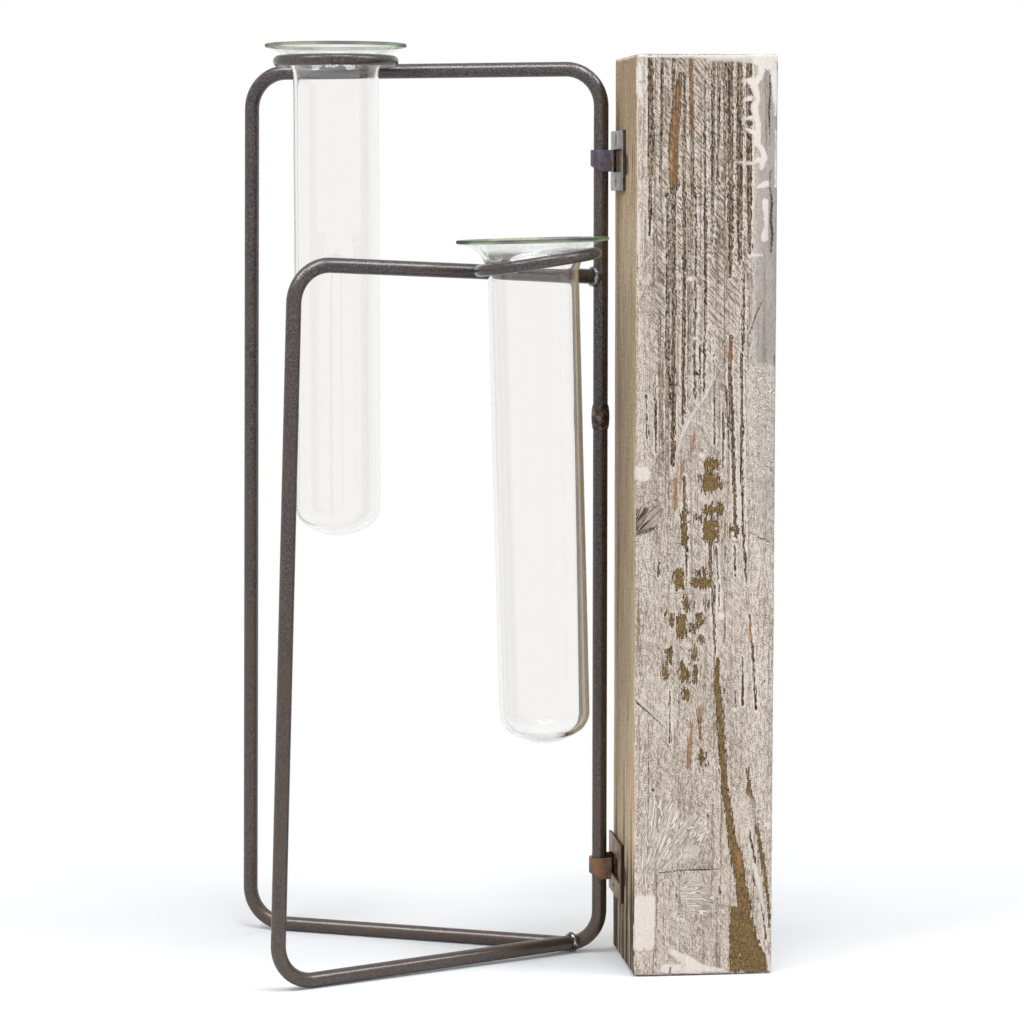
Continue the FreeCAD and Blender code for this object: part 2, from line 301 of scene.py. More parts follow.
class Graph:
    """A node tree that nodes are added to by one method."""

    def __init__(self, tree: bpy.types.NodeTree) -> None:
        """Take a tree, emptied."""
        self.tree = tree
        tree.nodes.clear()

    def add(self, kind: str, settings: dict[str, Any] | None = None,
            sockets: dict[Any, Any] | None = None) -> bpy.types.Node:
        """Add a node.

        Args:
            kind: The node's type.
            settings: Its own settings, which are set first. The key stops holds a ramp's stops.
            sockets: What its sockets hold or are linked to, by name or number. A node given here stands
                for its first output.

        Returns:
            The node.
        """
        node = self.tree.nodes.new(kind)
        for key, setting in (settings or {}).items():
            if key == "stops":
                elements = node.color_ramp.elements
                while len(elements) < len(setting):
                    elements.new(1.0)
                for element, (position, colour) in zip(elements, setting):
                    element.position = position
                    element.color = colour
            else:
                setattr(node, key, setting)
        for key, given in (sockets or {}).items():
            source = given.socket if isinstance(given, Value) else given
            source = source.outputs[0] if isinstance(source, bpy.types.Node) else source
            if isinstance(source, bpy.types.NodeSocket):
                self.tree.links.new(source, node.inputs[key])
            else:
                node.inputs[key].default_value = source
        return node


def seen_white(tree: Graph) -> Value:
    """Tell what the camera, glass and metal see from the light that falls on the object.

    Args:
        tree: The tree that asks.

    Returns:
        1 for what is seen, and 0 for the light.
    """
    rays = tree.add("ShaderNodeLightPath").outputs
    camera, glossy, through = (Value(tree, rays[f"Is {kind} Ray"])
                               for kind in ("Camera", "Glossy", "Transmission"))
    return camera.most(glossy).most(through)


class Shading(Graph):
    """A material's node tree, with the patterns that the finishes share."""

    def __init__(self, name: str) -> None:
        """Make an empty material.

        Args:
            name: The material's name.
        """
        self.material = bpy.data.materials.new(name)
        self.material.use_nodes = True
        super().__init__(self.material.node_tree)
        self.place = self.add("ShaderNodeTexCoord").outputs["Object"]

    def mapped(self, scale: Sequence[float], turn: Sequence[float] = (0, 0, 0)) -> bpy.types.NodeSocket:
        """Give the place on the piece, turned and then scaled.

        Args:
            scale: How many pattern units a millimetre holds along x, y and z.
            turn: The pattern's turn about x, y and z, in degrees.

        Returns:
            The vector socket.
        """
        turns = [math.radians(angle) for angle in turn]
        turned = self.add("ShaderNodeMapping", sockets={"Vector": self.place, "Rotation": turns})
        sizes = [value / MM for value in scale]
        return self.add("ShaderNodeMapping", sockets={"Vector": turned, "Scale": sizes}).outputs[0]

    def noise(self, scale: Sequence[float] | float, detail: float = 2.0, roughness: float = 0.5,
              distortion: float = 0.0, turn: Sequence[float] = (0, 0, 0)) -> Value:
        """Add a noise pattern by its cells in a millimetre, on each axis or all, and its turn in degrees."""
        scale = (scale,) * 3 if isinstance(scale, (int, float)) else scale
        return self.noise_at(self.mapped(scale, turn), detail, roughness, distortion)

    def noise_at(self, vector: Any, detail: float, roughness: float, distortion: float) -> Value:
        """Add a noise pattern that reads a vector.

        Args:
            vector: The vector, in noise cells.
            detail: The number of finer octaves.
            roughness: How strong these are.
            distortion: How much it swirls.

        Returns:
            The noise, from 0 to 1.
        """
        node = self.add("ShaderNodeTexNoise", sockets={
            "Vector": vector, "Scale": 1.0, "Detail": detail, "Roughness": roughness,
            "Distortion": distortion})
        return Value(self, node.outputs[0])

    def spot(self) -> list[Value]:
        """Give the place on the piece along x, y and z, in millimetres."""
        split = self.add("ShaderNodeSeparateXYZ", sockets={0: self.mapped((1, 1, 1))})
        return [Value(self, part) for part in split.outputs]

    def fan(self, centre: tuple[float, float], spokes: float, rings: float, detail: float,
            distortion: float) -> Value:
        """Add a noise pattern that runs out from a point of the front face.

        Args:
            centre: The point, along x and z in millimetres.
            spokes: How many noise cells a radian holds.
            rings: How many noise cells a millimetre holds outwards.
            detail: The number of finer octaves.
            distortion: How much it swirls.

        Returns:
            The noise, from 0 to 1.
        """
        across, _, up = self.spot()
        across, up = across - centre[0], up - centre[1]
        reach = (across * across + up * up) ** 0.5
        angle = up.math("ARCTAN2", up, across)
        vector = self.add("ShaderNodeCombineXYZ", sockets={0: angle * spokes, 1: reach * rings})
        return self.noise_at(vector, detail, 0.6, distortion)

    def attribute(self, name: str) -> Value:
        """Read a number that the mesh holds at its points."""
        return Value(self, self.add("ShaderNodeAttribute", {"attribute_name": name}).outputs["Fac"])

    def height(self) -> Value:
        """Give the height above the floor, in millimetres."""
        return self.spot()[2]

    def mixed(self, factor: Any, first: Any, second: Any) -> bpy.types.NodeSocket:
        """Mix some of a second colour into a first, by a factor from 0 to 1."""
        colours = {0: factor, 6: first, 7: second}
        return self.add("ShaderNodeMix", {"data_type": "RGBA"}, colours).outputs[2]

    def ramp(self, value: Value, *stops: tuple[float, Sequence[float]]) -> bpy.types.NodeSocket:
        """Turn a number into a colour by a ramp's stops."""
        return self.add("ShaderNodeValToRGB", {"stops": stops}, {0: value}).outputs[0]

    def bump(self, height: Value, depth: float) -> bpy.types.NodeSocket:
        """Bend the normal by a pattern, in which 1 stands for a height of depth in millimetres."""
        sockets = {"Height": height, "Distance": depth * MM, "Strength": 1.0}
        return self.add("ShaderNodeBump", sockets=sockets).outputs[0]

    def shader(self, **sockets: Any) -> bpy.types.NodeSocket:
        """Add the main shader, with underscores for the spaces in the names of its sockets."""
        named = {key.replace("_", " "): value for key, value in sockets.items()}
        return self.add("ShaderNodeBsdfPrincipled", sockets=named).outputs[0]

    def finish(self, **sockets: Any) -> bpy.types.Material:
        """End the tree in the main shader, with its sockets' values or links, and give the material."""
        self.add("ShaderNodeOutputMaterial", sockets={"Surface": self.shader(**sockets)})
        return self.material


class Shaping(Graph):
    """A geometry node tree with named inputs, which ends in realized instances and a material."""

    def __init__(self, name: str, numbers: Iterable[str], counts: Iterable[str]) -> None:
        """Make a tree, whose last input is its finish.

        Args:
            name: The tree's name.
            numbers: The names of the inputs that take a size.
            counts: The names of the inputs that take a whole number.
        """
        super().__init__(bpy.data.node_groups.new(name, "GeometryNodeTree"))
        interface = self.tree.interface
        for end in ("INPUT", "OUTPUT"):
            interface.new_socket("Geometry", in_out=end, socket_type="NodeSocketGeometry")
        kinds = dict.fromkeys(numbers, "Float") | dict.fromkeys(counts, "Int") | {"Finish": "Material"}
        made = {key: interface.new_socket(key, in_out="INPUT", socket_type=f"NodeSocket{kind}")
                for key, kind in kinds.items()}
        self.keys = {key: socket.identifier for key, socket in made.items()}
        self.given = self.add("NodeGroupInput").outputs

    def end(self, geometry: Any) -> None:
        """Close the tree on a geometry, with smooth faces and the tree's material.

        Args:
            geometry: The shape's node or socket.
        """
        for kind in ("SetShadeSmooth", "RealizeInstances", "SetMaterial"):
            geometry = self.add(f"GeometryNode{kind}", sockets={"Geometry": geometry})
        self.tree.links.new(self.given["Finish"], geometry.inputs["Material"])
        self.add("NodeGroupOutput", sockets={"Geometry": geometry})

    def run(self, source: bpy.types.Object, name: str, **values: Any) -> bpy.types.Object:
        """Shape an object by the tree, and make the result a plain piece.

        Args:
            source: The object that the tree starts from.
            name: The new piece's name.
            values: The inputs' values, with underscores for the spaces in their names.

        Returns:
            The plain piece.
        """
        modifier = source.modifiers.new("shape", "NODES")
        modifier.node_group = self.tree
        for key, value in values.items():
            modifier[self.keys[key.replace("_", " ")]] = value
        return settled(source, name)


# Finishes. A pattern's scale counts its cells in a millimetre. The numbers in over() and in a ramp's stops
# are values of a pattern, or heights in millimetres. A number that multiplies a pattern or mix is its share.


@dataclass(frozen=True)
class WhitewashedTimber:
    """Rough sawn brown timber under a chalky whitewash that is rubbed through along the grain."""

    wash_light: tuple = tone(229, 217, 205)
    wash_mid: tuple = tone(181, 167, 153)
    wash_dark: tuple = tone(128, 112, 98)
    wash_rose: tuple = tone(186, 162, 148)
    wash_cool: tuple = tone(148, 141, 138)
    speck: tuple = tone(112, 95, 80)
    bare_dark: tuple = tone(54, 42, 31)
    bare_mid: tuple = tone(96, 78, 60)
    bare_light: tuple = tone(166, 146, 122)
    olive_dark: tuple = tone(70, 53, 29)
    olive_light: tuple = tone(148, 121, 80)
    orange_dark: tuple = tone(112, 76, 44)
    orange_light: tuple = tone(178, 128, 80)
    side_dark: tuple = tone(134, 111, 84)
    side_mid: tuple = tone(194, 170, 138)
    side_light: tuple = tone(224, 203, 176)
    paint_dark: tuple = tone(198, 189, 180)
    paint_light: tuple = tone(221, 210, 200)
    cut: tuple = tone(48, 39, 32)
    wrinkle_centre: tuple[float, float] = (41.0, 26.0)
    knot_centre: tuple[float, float] = (36.5, 145.0)

    def make(self) -> bpy.types.Material:
        """Make the material, which reads the fields that the post's mesh holds.

        Returns:
            The material.
        """
        tree = Shading("whitewashed_timber")
        fibre = tree.noise((2.2, 2.2, 0.05), 5, 0.62)
        strand = tree.noise((0.8, 0.8, 0.012), 3, 0.55)
        grit = tree.noise(2.3, 3, 0.7)
        tick = tree.noise((2.2, 2.2, 0.55), 2, 0.6)
        hatch = tree.noise((2.7, 2.7, 0.3), 2, 0.5, turn=(0, 42, 0))
        cloud = tree.noise((0.12, 0.12, 0.03), 3, 0.5)
        held = {name: tree.attribute(name) for name in (
            "coat", "worn", "cool", "bare", "olive", "orange", "paint", "cut", "scrape", "wrinkle", "crackle",
            "knot", "flake")}
        height = tree.height()

        chalk = grit * 0.62 + tick * 0.38 + (cloud - 0.5) * 0.16
        wash = tree.ramp(chalk, (0.4, self.wash_dark), (0.49, self.wash_mid), (0.57, self.wash_light))
        wash = tree.mixed(held["cool"].over(0.0, 1.0) * 0.75, wash, self.wash_cool)
        wash = tree.mixed(cloud.over(0.5, 0.72) * 0.35, wash, self.wash_rose)
        wash = tree.mixed(held["worn"] * 0.14, wash, self.wash_dark)
        lines = (fibre * 0.7 + strand * 0.3 + (grit - 0.5) * 0.25).over(0.545, 0.60)
        wash = tree.mixed(lines * 0.5, wash, self.wash_dark)
        specks = (tick * 0.5 + grit * 0.5 + held["worn"] * 0.035).over(0.60, 0.65)
        wash = tree.mixed(specks * 0.8, wash, self.speck)
        scored = hatch + (grit - 0.5) * 0.3
        wash = tree.mixed(scored.over(0.48, 0.42) * held["worn"] * 0.2, wash, self.wash_light)
        wash = tree.mixed(scored.over(0.5, 0.58) * held["worn"] * 0.85, wash, self.bare_mid)

        wood = tree.ramp(fibre * 0.3 + tick * 0.3 + hatch * 0.2 + grit * 0.2, (0.44, self.bare_dark),
                         (0.5, self.bare_mid), (0.56, self.bare_light), (0.6, self.wash_mid))
        edge = (tick - 0.5) * 1.7 + (fibre - 0.5) * 1.7 + (hatch - 0.5) * 1.9 * held["worn"]
        bare = (held["bare"] + edge).over(0.14, -0.14)
        wash = tree.mixed((held["bare"] + edge).over(0.75, 0.3) * 0.6, wash, self.wash_light)
        rubbed = (strand * 0.45 + fibre * 0.35 + hatch * 0.2 + held["worn"] * 0.055).over(0.575, 0.605)
        shown = bare.most(rubbed * 0.8)
        colour = tree.mixed(shown, wash, wood)

        ragged = (tick - 0.5) * 2.2 + (grit - 0.5) * 1.2 + (fibre - 0.5) * 3.0
        torn = (tick - 0.5) * 5.0 + (grit - 0.5) * 2.0 + (strand - 0.5) * 5.0
        flaked = (held["olive"] + ragged).least(held["flake"] + torn)
        olive = tree.ramp(grit * 0.6 + tick * 0.4, (0.4, self.olive_dark), (0.62, self.olive_light))
        olive = tree.mixed(flaked.over(-0.45, -0.05) * 0.6, olive, self.bare_dark)
        colour = tree.mixed(flaked.over(0.08, -0.08), colour, olive)
        orange = fibre * 0.3 + grit * 0.3 + hatch * 0.4
        orange = tree.ramp(orange, (0.44, self.orange_dark), (0.56, self.orange_light))
        warm = (held["orange"] + edge * 1.4).over(0.5, -0.5) * (0.9 - held["worn"] * 0.35)
        colour = tree.mixed(warm, colour, orange)
        colour = tree.mixed(warm * scored.over(0.5, 0.57) * held["worn"] * 0.9, colour, self.bare_mid)

        scraped = tree.ramp(fibre * 0.5 + grit * 0.5, (0.42, self.wash_dark), (0.56, self.paint_dark))
        colour = tree.mixed((held["scrape"] + (grit - 0.5)).over(0.2, -0.5) * 0.8, colour, scraped)
        spokes = tree.fan(self.knot_centre, 15.0, 0.12, 3, 0.3)
        knot = tree.ramp(spokes * 0.75 + grit * 0.25, (0.43, self.bare_dark), (0.52, self.wash_dark),
                         (0.6, self.wash_mid))
        colour = tree.mixed((held["knot"] + (grit - 0.5) * 2.0).over(0.6, -0.8), colour, knot)

        fold = (tree.fan(self.wrinkle_centre, 15.0, 0.1, 1, 0.55) - 0.5).size()
        folded = (held["wrinkle"] + (grit - 0.5) * 3.0).over(0.5, -0.8)
        cell = (tree.noise((0.45, 0.45, 0.4), 1, 0.5, 0.8) - 0.5).size()
        crackled = (held["crackle"] + (grit - 0.5) * 3.0).over(0.5, -0.8)
        # Beside the wrinkle and crackle ridges the hollows are darkened: painted shade.
        shade = fold.over(0.03, 0.05) * fold.over(0.11, 0.06) * folded
        painted_shade_hollows = shade.most(cell.over(0.03, 0.05) * cell.over(0.11, 0.06) * crackled)
        ridges = (fold.over(0.045, 0.015) * folded).most(cell.over(0.045, 0.015) * crackled)
        colour = tree.mixed(folded.most(crackled) * 0.35, colour, self.wash_light)
        colour = tree.mixed(painted_shade_hollows * 0.75, colour, self.wash_dark)
        colour = tree.mixed(ridges * 0.9, colour, self.paint_light)

        # On the left face the height terms are painted light and shade: darker near the top and lighter lower
        # down; the noise is the wood's grain.
        grain = fibre * 0.5 + grit * 0.5 + height.over(290, 240) * 0.06 + height.over(200, 60) * 0.03 - 0.06
        side = tree.ramp(grain, (0.42, self.side_dark), (0.5, self.side_mid), (0.6, self.side_light))
        foot = height.over(50, 24) * (strand + (fibre - 0.5)).over(0.62, 0.52)
        side = tree.mixed(foot * 0.95, side, self.bare_dark)
        side = tree.mixed(bare * 0.8, side, self.bare_dark)
        colour = tree.mixed((held["coat"] + (grit - 0.5) * 0.6).over(0.42, 0.24), colour, side)

        painted = (held["paint"] + (grit - 0.5) * 2.4 + (tick - 0.5) * 1.6).over(0.1, -0.1)
        paint = tree.ramp(grit, (0.36, self.paint_dark), (0.5, self.paint_light))
        colour = tree.mixed(painted, colour, paint)
        cracked = (held["cut"] + (grit - 0.5) * 1.5).over(0.1, -0.12)
        colour = tree.mixed(cracked * 0.9, colour, self.cut)

        relief = (1 - shown.most(flaked.over(0.08, -0.08))) * 0.35 + fibre * 0.2 + tick * 0.2 + grit * 0.15
        relief = relief + hatch * 0.2 * held["worn"] + painted * 0.3 + ridges * 0.5 - cracked * 0.6
        return tree.finish(Base_Color=colour, Roughness=0.92 - painted * 0.2, Normal=tree.bump(relief, 0.3),
                           Specular_IOR_Level=0.25)


@dataclass(frozen=True)
class HammeredRod:
    """Slate coloured rod with a fine hammered speckle, browner in random patches, and towards the foot by
    painted floor reflection.
    """

    dark: tuple = tone(47, 41, 42)
    mid: tuple = tone(68, 61, 59)
    light: tuple = tone(100, 93, 93)
    brown_tone_and_floor_reflection: tuple = tone(84, 68, 57)
    edge: tuple = tone(120, 120, 126)
    roughness: float = 0.3
    lacquer: float = 0.5
    lacquer_roughness: float = 0.2

    def make(self) -> bpy.types.Material:
        """Make the material.

        Returns:
            The material.
        """
        tree = Shading("dark_rod")
        hammer = tree.noise(1.5, 2, 0.5)
        fine = tree.noise(3.2, 3, 0.6)
        broad = tree.noise(0.05, 2, 0.5)
        beaten = hammer * 0.4 + fine * 0.6
        colour = tree.ramp(beaten, (0.38, self.dark), (0.5, self.mid), (0.62, self.light))
        # The height part of this brown share is a painted warm reflection of the floor, not wear; the broad
        # noise adds random brown tone.
        worn = tree.height().over(240, 30) * 0.5 + broad.over(0.4, 0.7) * 0.4
        colour = tree.mixed(worn, colour, self.brown_tone_and_floor_reflection)
        coat = beaten.over(0.38, 0.58) * (1 - self.lacquer) + self.lacquer
        return tree.finish(Base_Color=colour, Metallic=0.7, Roughness=self.roughness + fine * 0.1,
                           Normal=tree.bump(hammer * 0.6 + fine * 0.4, 0.16), Specular_IOR_Level=0.4,
                           Specular_Tint=self.edge, Coat_Weight=coat, Coat_Roughness=self.lacquer_roughness)


@dataclass(frozen=True)
class PlateSteel:
    """Raw sheet steel with a whitish bloom, and heat and rust tints about its knuckle."""

    name: str = "plate_steel"
    steel: tuple = tone(150, 144, 142)
    bloom: tuple = tone(200, 196, 192)
    dark: tuple = tone(88, 83, 84)
    blue: tuple = tone(66, 62, 82)
    rust: tuple = tone(118, 78, 48)
    # Painted shadow: the near black of the plate's cut edges.
    scale: tuple = tone(20, 15, 13)
    rust_share: float = 0.2

    def make(self) -> bpy.types.Material:
        """Make the material, which reads how near the knuckle each point is.

        Returns:
            The material.
        """
        tree = Shading(self.name)
        cloud = tree.noise(0.3, 3, 0.55, 0.4)
        streak = tree.noise((2.2, 2.2, 0.25), 3, 0.6)
        grain = tree.noise(3.5, 3, 0.6)
        warmed = tree.attribute("warmed")
        sheet = cloud * 0.4 + streak * 0.3 + grain * 0.3
        colour = tree.ramp(sheet, (0.4, self.dark), (0.48, self.steel), (0.6, self.bloom))
        colour = tree.mixed((warmed + (cloud - 0.5)).over(0.2, 0.5) * 0.8, colour, self.blue)
        low = 0.62 - self.rust_share * 0.3
        rust = (cloud * 0.5 + grain * 0.5 + warmed * 0.03).over(low, low + 0.06)
        colour = tree.mixed(rust * 0.8, colour, self.rust)
        # The cut edges are painted near black and matte, as painted shadow.
        rim = tree.attribute("rim")
        colour = tree.mixed(rim * 0.9, colour, self.scale)
        metal = (0.65 - rust * 0.4) * (1 - rim)
        return tree.finish(Base_Color=colour, Metallic=metal, Roughness=0.3 + grain * 0.3,
                           Normal=tree.bump(grain * 0.6 + streak * 0.4, 0.06), Specular_IOR_Level=0.25)


@dataclass(frozen=True)
class WeldMetal:
    """Rippled weld metal, bright on its crests and scaled in its hollows."""

    name: str = "weld_metal"
    scale: tuple = tone(54, 49, 50)
    metal: tuple = tone(108, 104, 110)
    bright: tuple = tone(216, 216, 222)
    straw: tuple = tone(140, 110, 82)

    def make(self) -> bpy.types.Material:
        """Make the material.

        Returns:
            The material.
        """
        tree = Shading(self.name)
        ripple = tree.noise(0.5, 2, 0.5, 0.3)
        fine = tree.noise(1.8, 2, 0.5)
        bead = ripple * 0.6 + fine * 0.4
        colour = tree.ramp(bead, (0.4, self.scale), (0.5, self.metal), (0.6, self.bright))
        colour = tree.mixed(ripple.over(0.52, 0.66) * 0.5, colour, self.straw)
        return tree.finish(Base_Color=colour, Metallic=0.9, Roughness=0.18 + fine * 0.2,
                           Normal=tree.bump(fine, 0.1))


@dataclass(frozen=True)
class ScrewSteel:
    """Dull zinc with a darker mottle."""

    zinc: tuple = tone(128, 122, 118)
    dull: tuple = tone(84, 78, 74)

    def make(self) -> bpy.types.Material:
        """Make the material.

        Returns:
            The material.
        """
        tree = Shading("screw_steel")
        mottle = tree.noise(1.6, 3, 0.6)
        colour = tree.ramp(mottle, (0.42, self.dull), (0.58, self.zinc))
        return tree.finish(Base_Color=colour, Metallic=0.8, Roughness=0.35 + mottle * 0.25,
                           Normal=tree.bump(mottle, 0.04))


@dataclass(frozen=True)
class ClearGlass:
    """Clear blown glass that looks green where it is seen through its edge."""

    tint: tuple = (0.952, 0.945, 0.936, 1.0)
    absorbed: tuple = (0.72, 0.88, 0.7, 1.0)
    density_per_metre: float = 12.0
    edge_dark: tuple = tone(40, 55, 34)
    edge_light: tuple = tone(136, 152, 106)
    refraction: float = 1.5
    clearing: float = 0.82
    edge_cover: float = 0.75

    def make(self) -> bpy.types.Material:
        """Make the material, which reads how far out on the flare each point is.

        Returns:
            The material.
        """
        tree = Shading("clear_glass")
        glass = tree.shader(Base_Color=self.tint, Roughness=0.0, IOR=self.refraction, Transmission_Weight=1.0)
        flare = tree.attribute("flare")
        clear = tree.add("ShaderNodeBsdfTransparent")
        flared = tree.add("ShaderNodeMixShader", sockets={
            0: flare.over(0.02, 0.3) * self.clearing, 1: glass, 2: clear})
        shade = tree.ramp(tree.noise(0.05, 1, 0.5), (0.44, self.edge_dark), (0.56, self.edge_light))
        edge = tree.add("ShaderNodeBsdfTranslucent", sockets={"Color": shade})
        surface = tree.add("ShaderNodeMixShader", sockets={
            0: flare.over(0.91, 0.97) * self.edge_cover, 1: flared, 2: edge})
        absorption = tree.add("ShaderNodeVolumeAbsorption", sockets={
            "Color": self.absorbed, "Density": self.density_per_metre})
        tree.add("ShaderNodeOutputMaterial", sockets={"Surface": surface, "Volume": absorption})
        return tree.material


# The timber post


class LatticeNoise:
    """Smooth noise on a lattice of seeded numbers, for shapes."""

    def __init__(self, seed: int, count: int = 4096) -> None:
        """Draw the lattice's numbers."""
        draw = np.random.default_rng(seed)
        self.numbers, self.order = draw.random(count), draw.permutation(count)

    def at(self, places: np.ndarray, scale: Sequence[float]) -> np.ndarray:
        """Read the noise.

        Args:
            places: Points, one a row.
            scale: How many lattice cells a unit of length holds on each axis.

        Returns:
            A number from 0 to 1 for each point.
        """
        spot = places * np.array(scale)
        cell = np.floor(spot).astype(int)
        share = spot - cell
        share = share * share * (3 - 2 * share)
        total = np.zeros(len(places))
        for corner in np.ndindex(2, 2, 2):
            hashed = 0
            for column in (cell + corner).T:
                hashed = self.order[(hashed + column) % len(self.order)]
            weight = np.prod(np.where(corner, share, 1 - share), axis=1)
            total += weight * self.numbers[hashed]
        return total

    def blend(self, places: np.ndarray, parts: Iterable[tuple[float, Sequence[float]]]) -> np.ndarray:
        """Add up readings of the noise, each part with its share and its scale."""
        return sum(share * self.at(places, scale) for share, scale in parts)


@dataclass(frozen=True)
class Mark:
    """A stroke on a face of the post, with a half width at each of its points, in millimetres."""

    points: tuple[tuple[float, float], ...]
    half_widths: tuple[float, ...]

    def distance(self, across: np.ndarray, up: np.ndarray) -> np.ndarray:
        """Give the distance of points on the face from the stroke's edge, negative inside.

        Args:
            across: Places from the face's left edge.
            up: Heights above the floor.

        Returns:
            The signed distances.
        """
        least = np.full(len(across), np.inf)
        spots = list(zip(self.points, self.half_widths))
        for ((x0, z0), w0), ((x1, z1), w1) in zip(spots, spots[1:]):
            length = max((x1 - x0) ** 2 + (z1 - z0) ** 2, TINY)
            share = np.clip(((across - x0) * (x1 - x0) + (up - z0) * (z1 - z0)) / length, 0, 1)
            gap = np.hypot(across - x0 - share * (x1 - x0), up - z0 - share * (z1 - z0))
            least = np.minimum(least, gap - w0 - share * (w1 - w0))
        return least


def strokes(*rows: tuple) -> list[Mark]:
    """Make strokes.

    Args:
        rows: A row for each. It holds each point's place across the face and its height, and then the
            stroke's full width, the same all along or one for each point.

    Returns:
        The marks.
    """
    marks = []
    for *places, width in rows:
        points = tuple(zip(places[::2], places[1::2]))
        widths = width if isinstance(width, tuple) else (width,) * len(points)
        marks.append(Mark(points, tuple(value / 2 for value in widths)))
    return marks


def patches(*rows: tuple[float, float, float, float]) -> list[Mark]:
    """Make round-ended patches.

    Args:
        rows: A row for each, with its middle's place and height, its half width and its half height.

    Returns:
        The marks.
    """
    marks = []
    for across, up, half_width, half_height in rows:
        thin = min(half_width, half_height)
        side, rise = half_width - thin, half_height - thin
        marks.append(Mark(((across - side, up - rise), (across + side, up + rise)), (thin, thin)))
    return marks


class Layer(Enum):
    """What a mark shows, and the mesh attribute that holds its distance."""

    BARE = "bare"
    OLIVE = "olive"
    ORANGE = "orange"
    PAINT = "paint"
    CUT = "cut"
    SCRAPE = "scrape"
    WRINKLE = "wrinkle"
    CRACKLE = "crackle"
    KNOT = "knot"
    FLAKE = "flake"


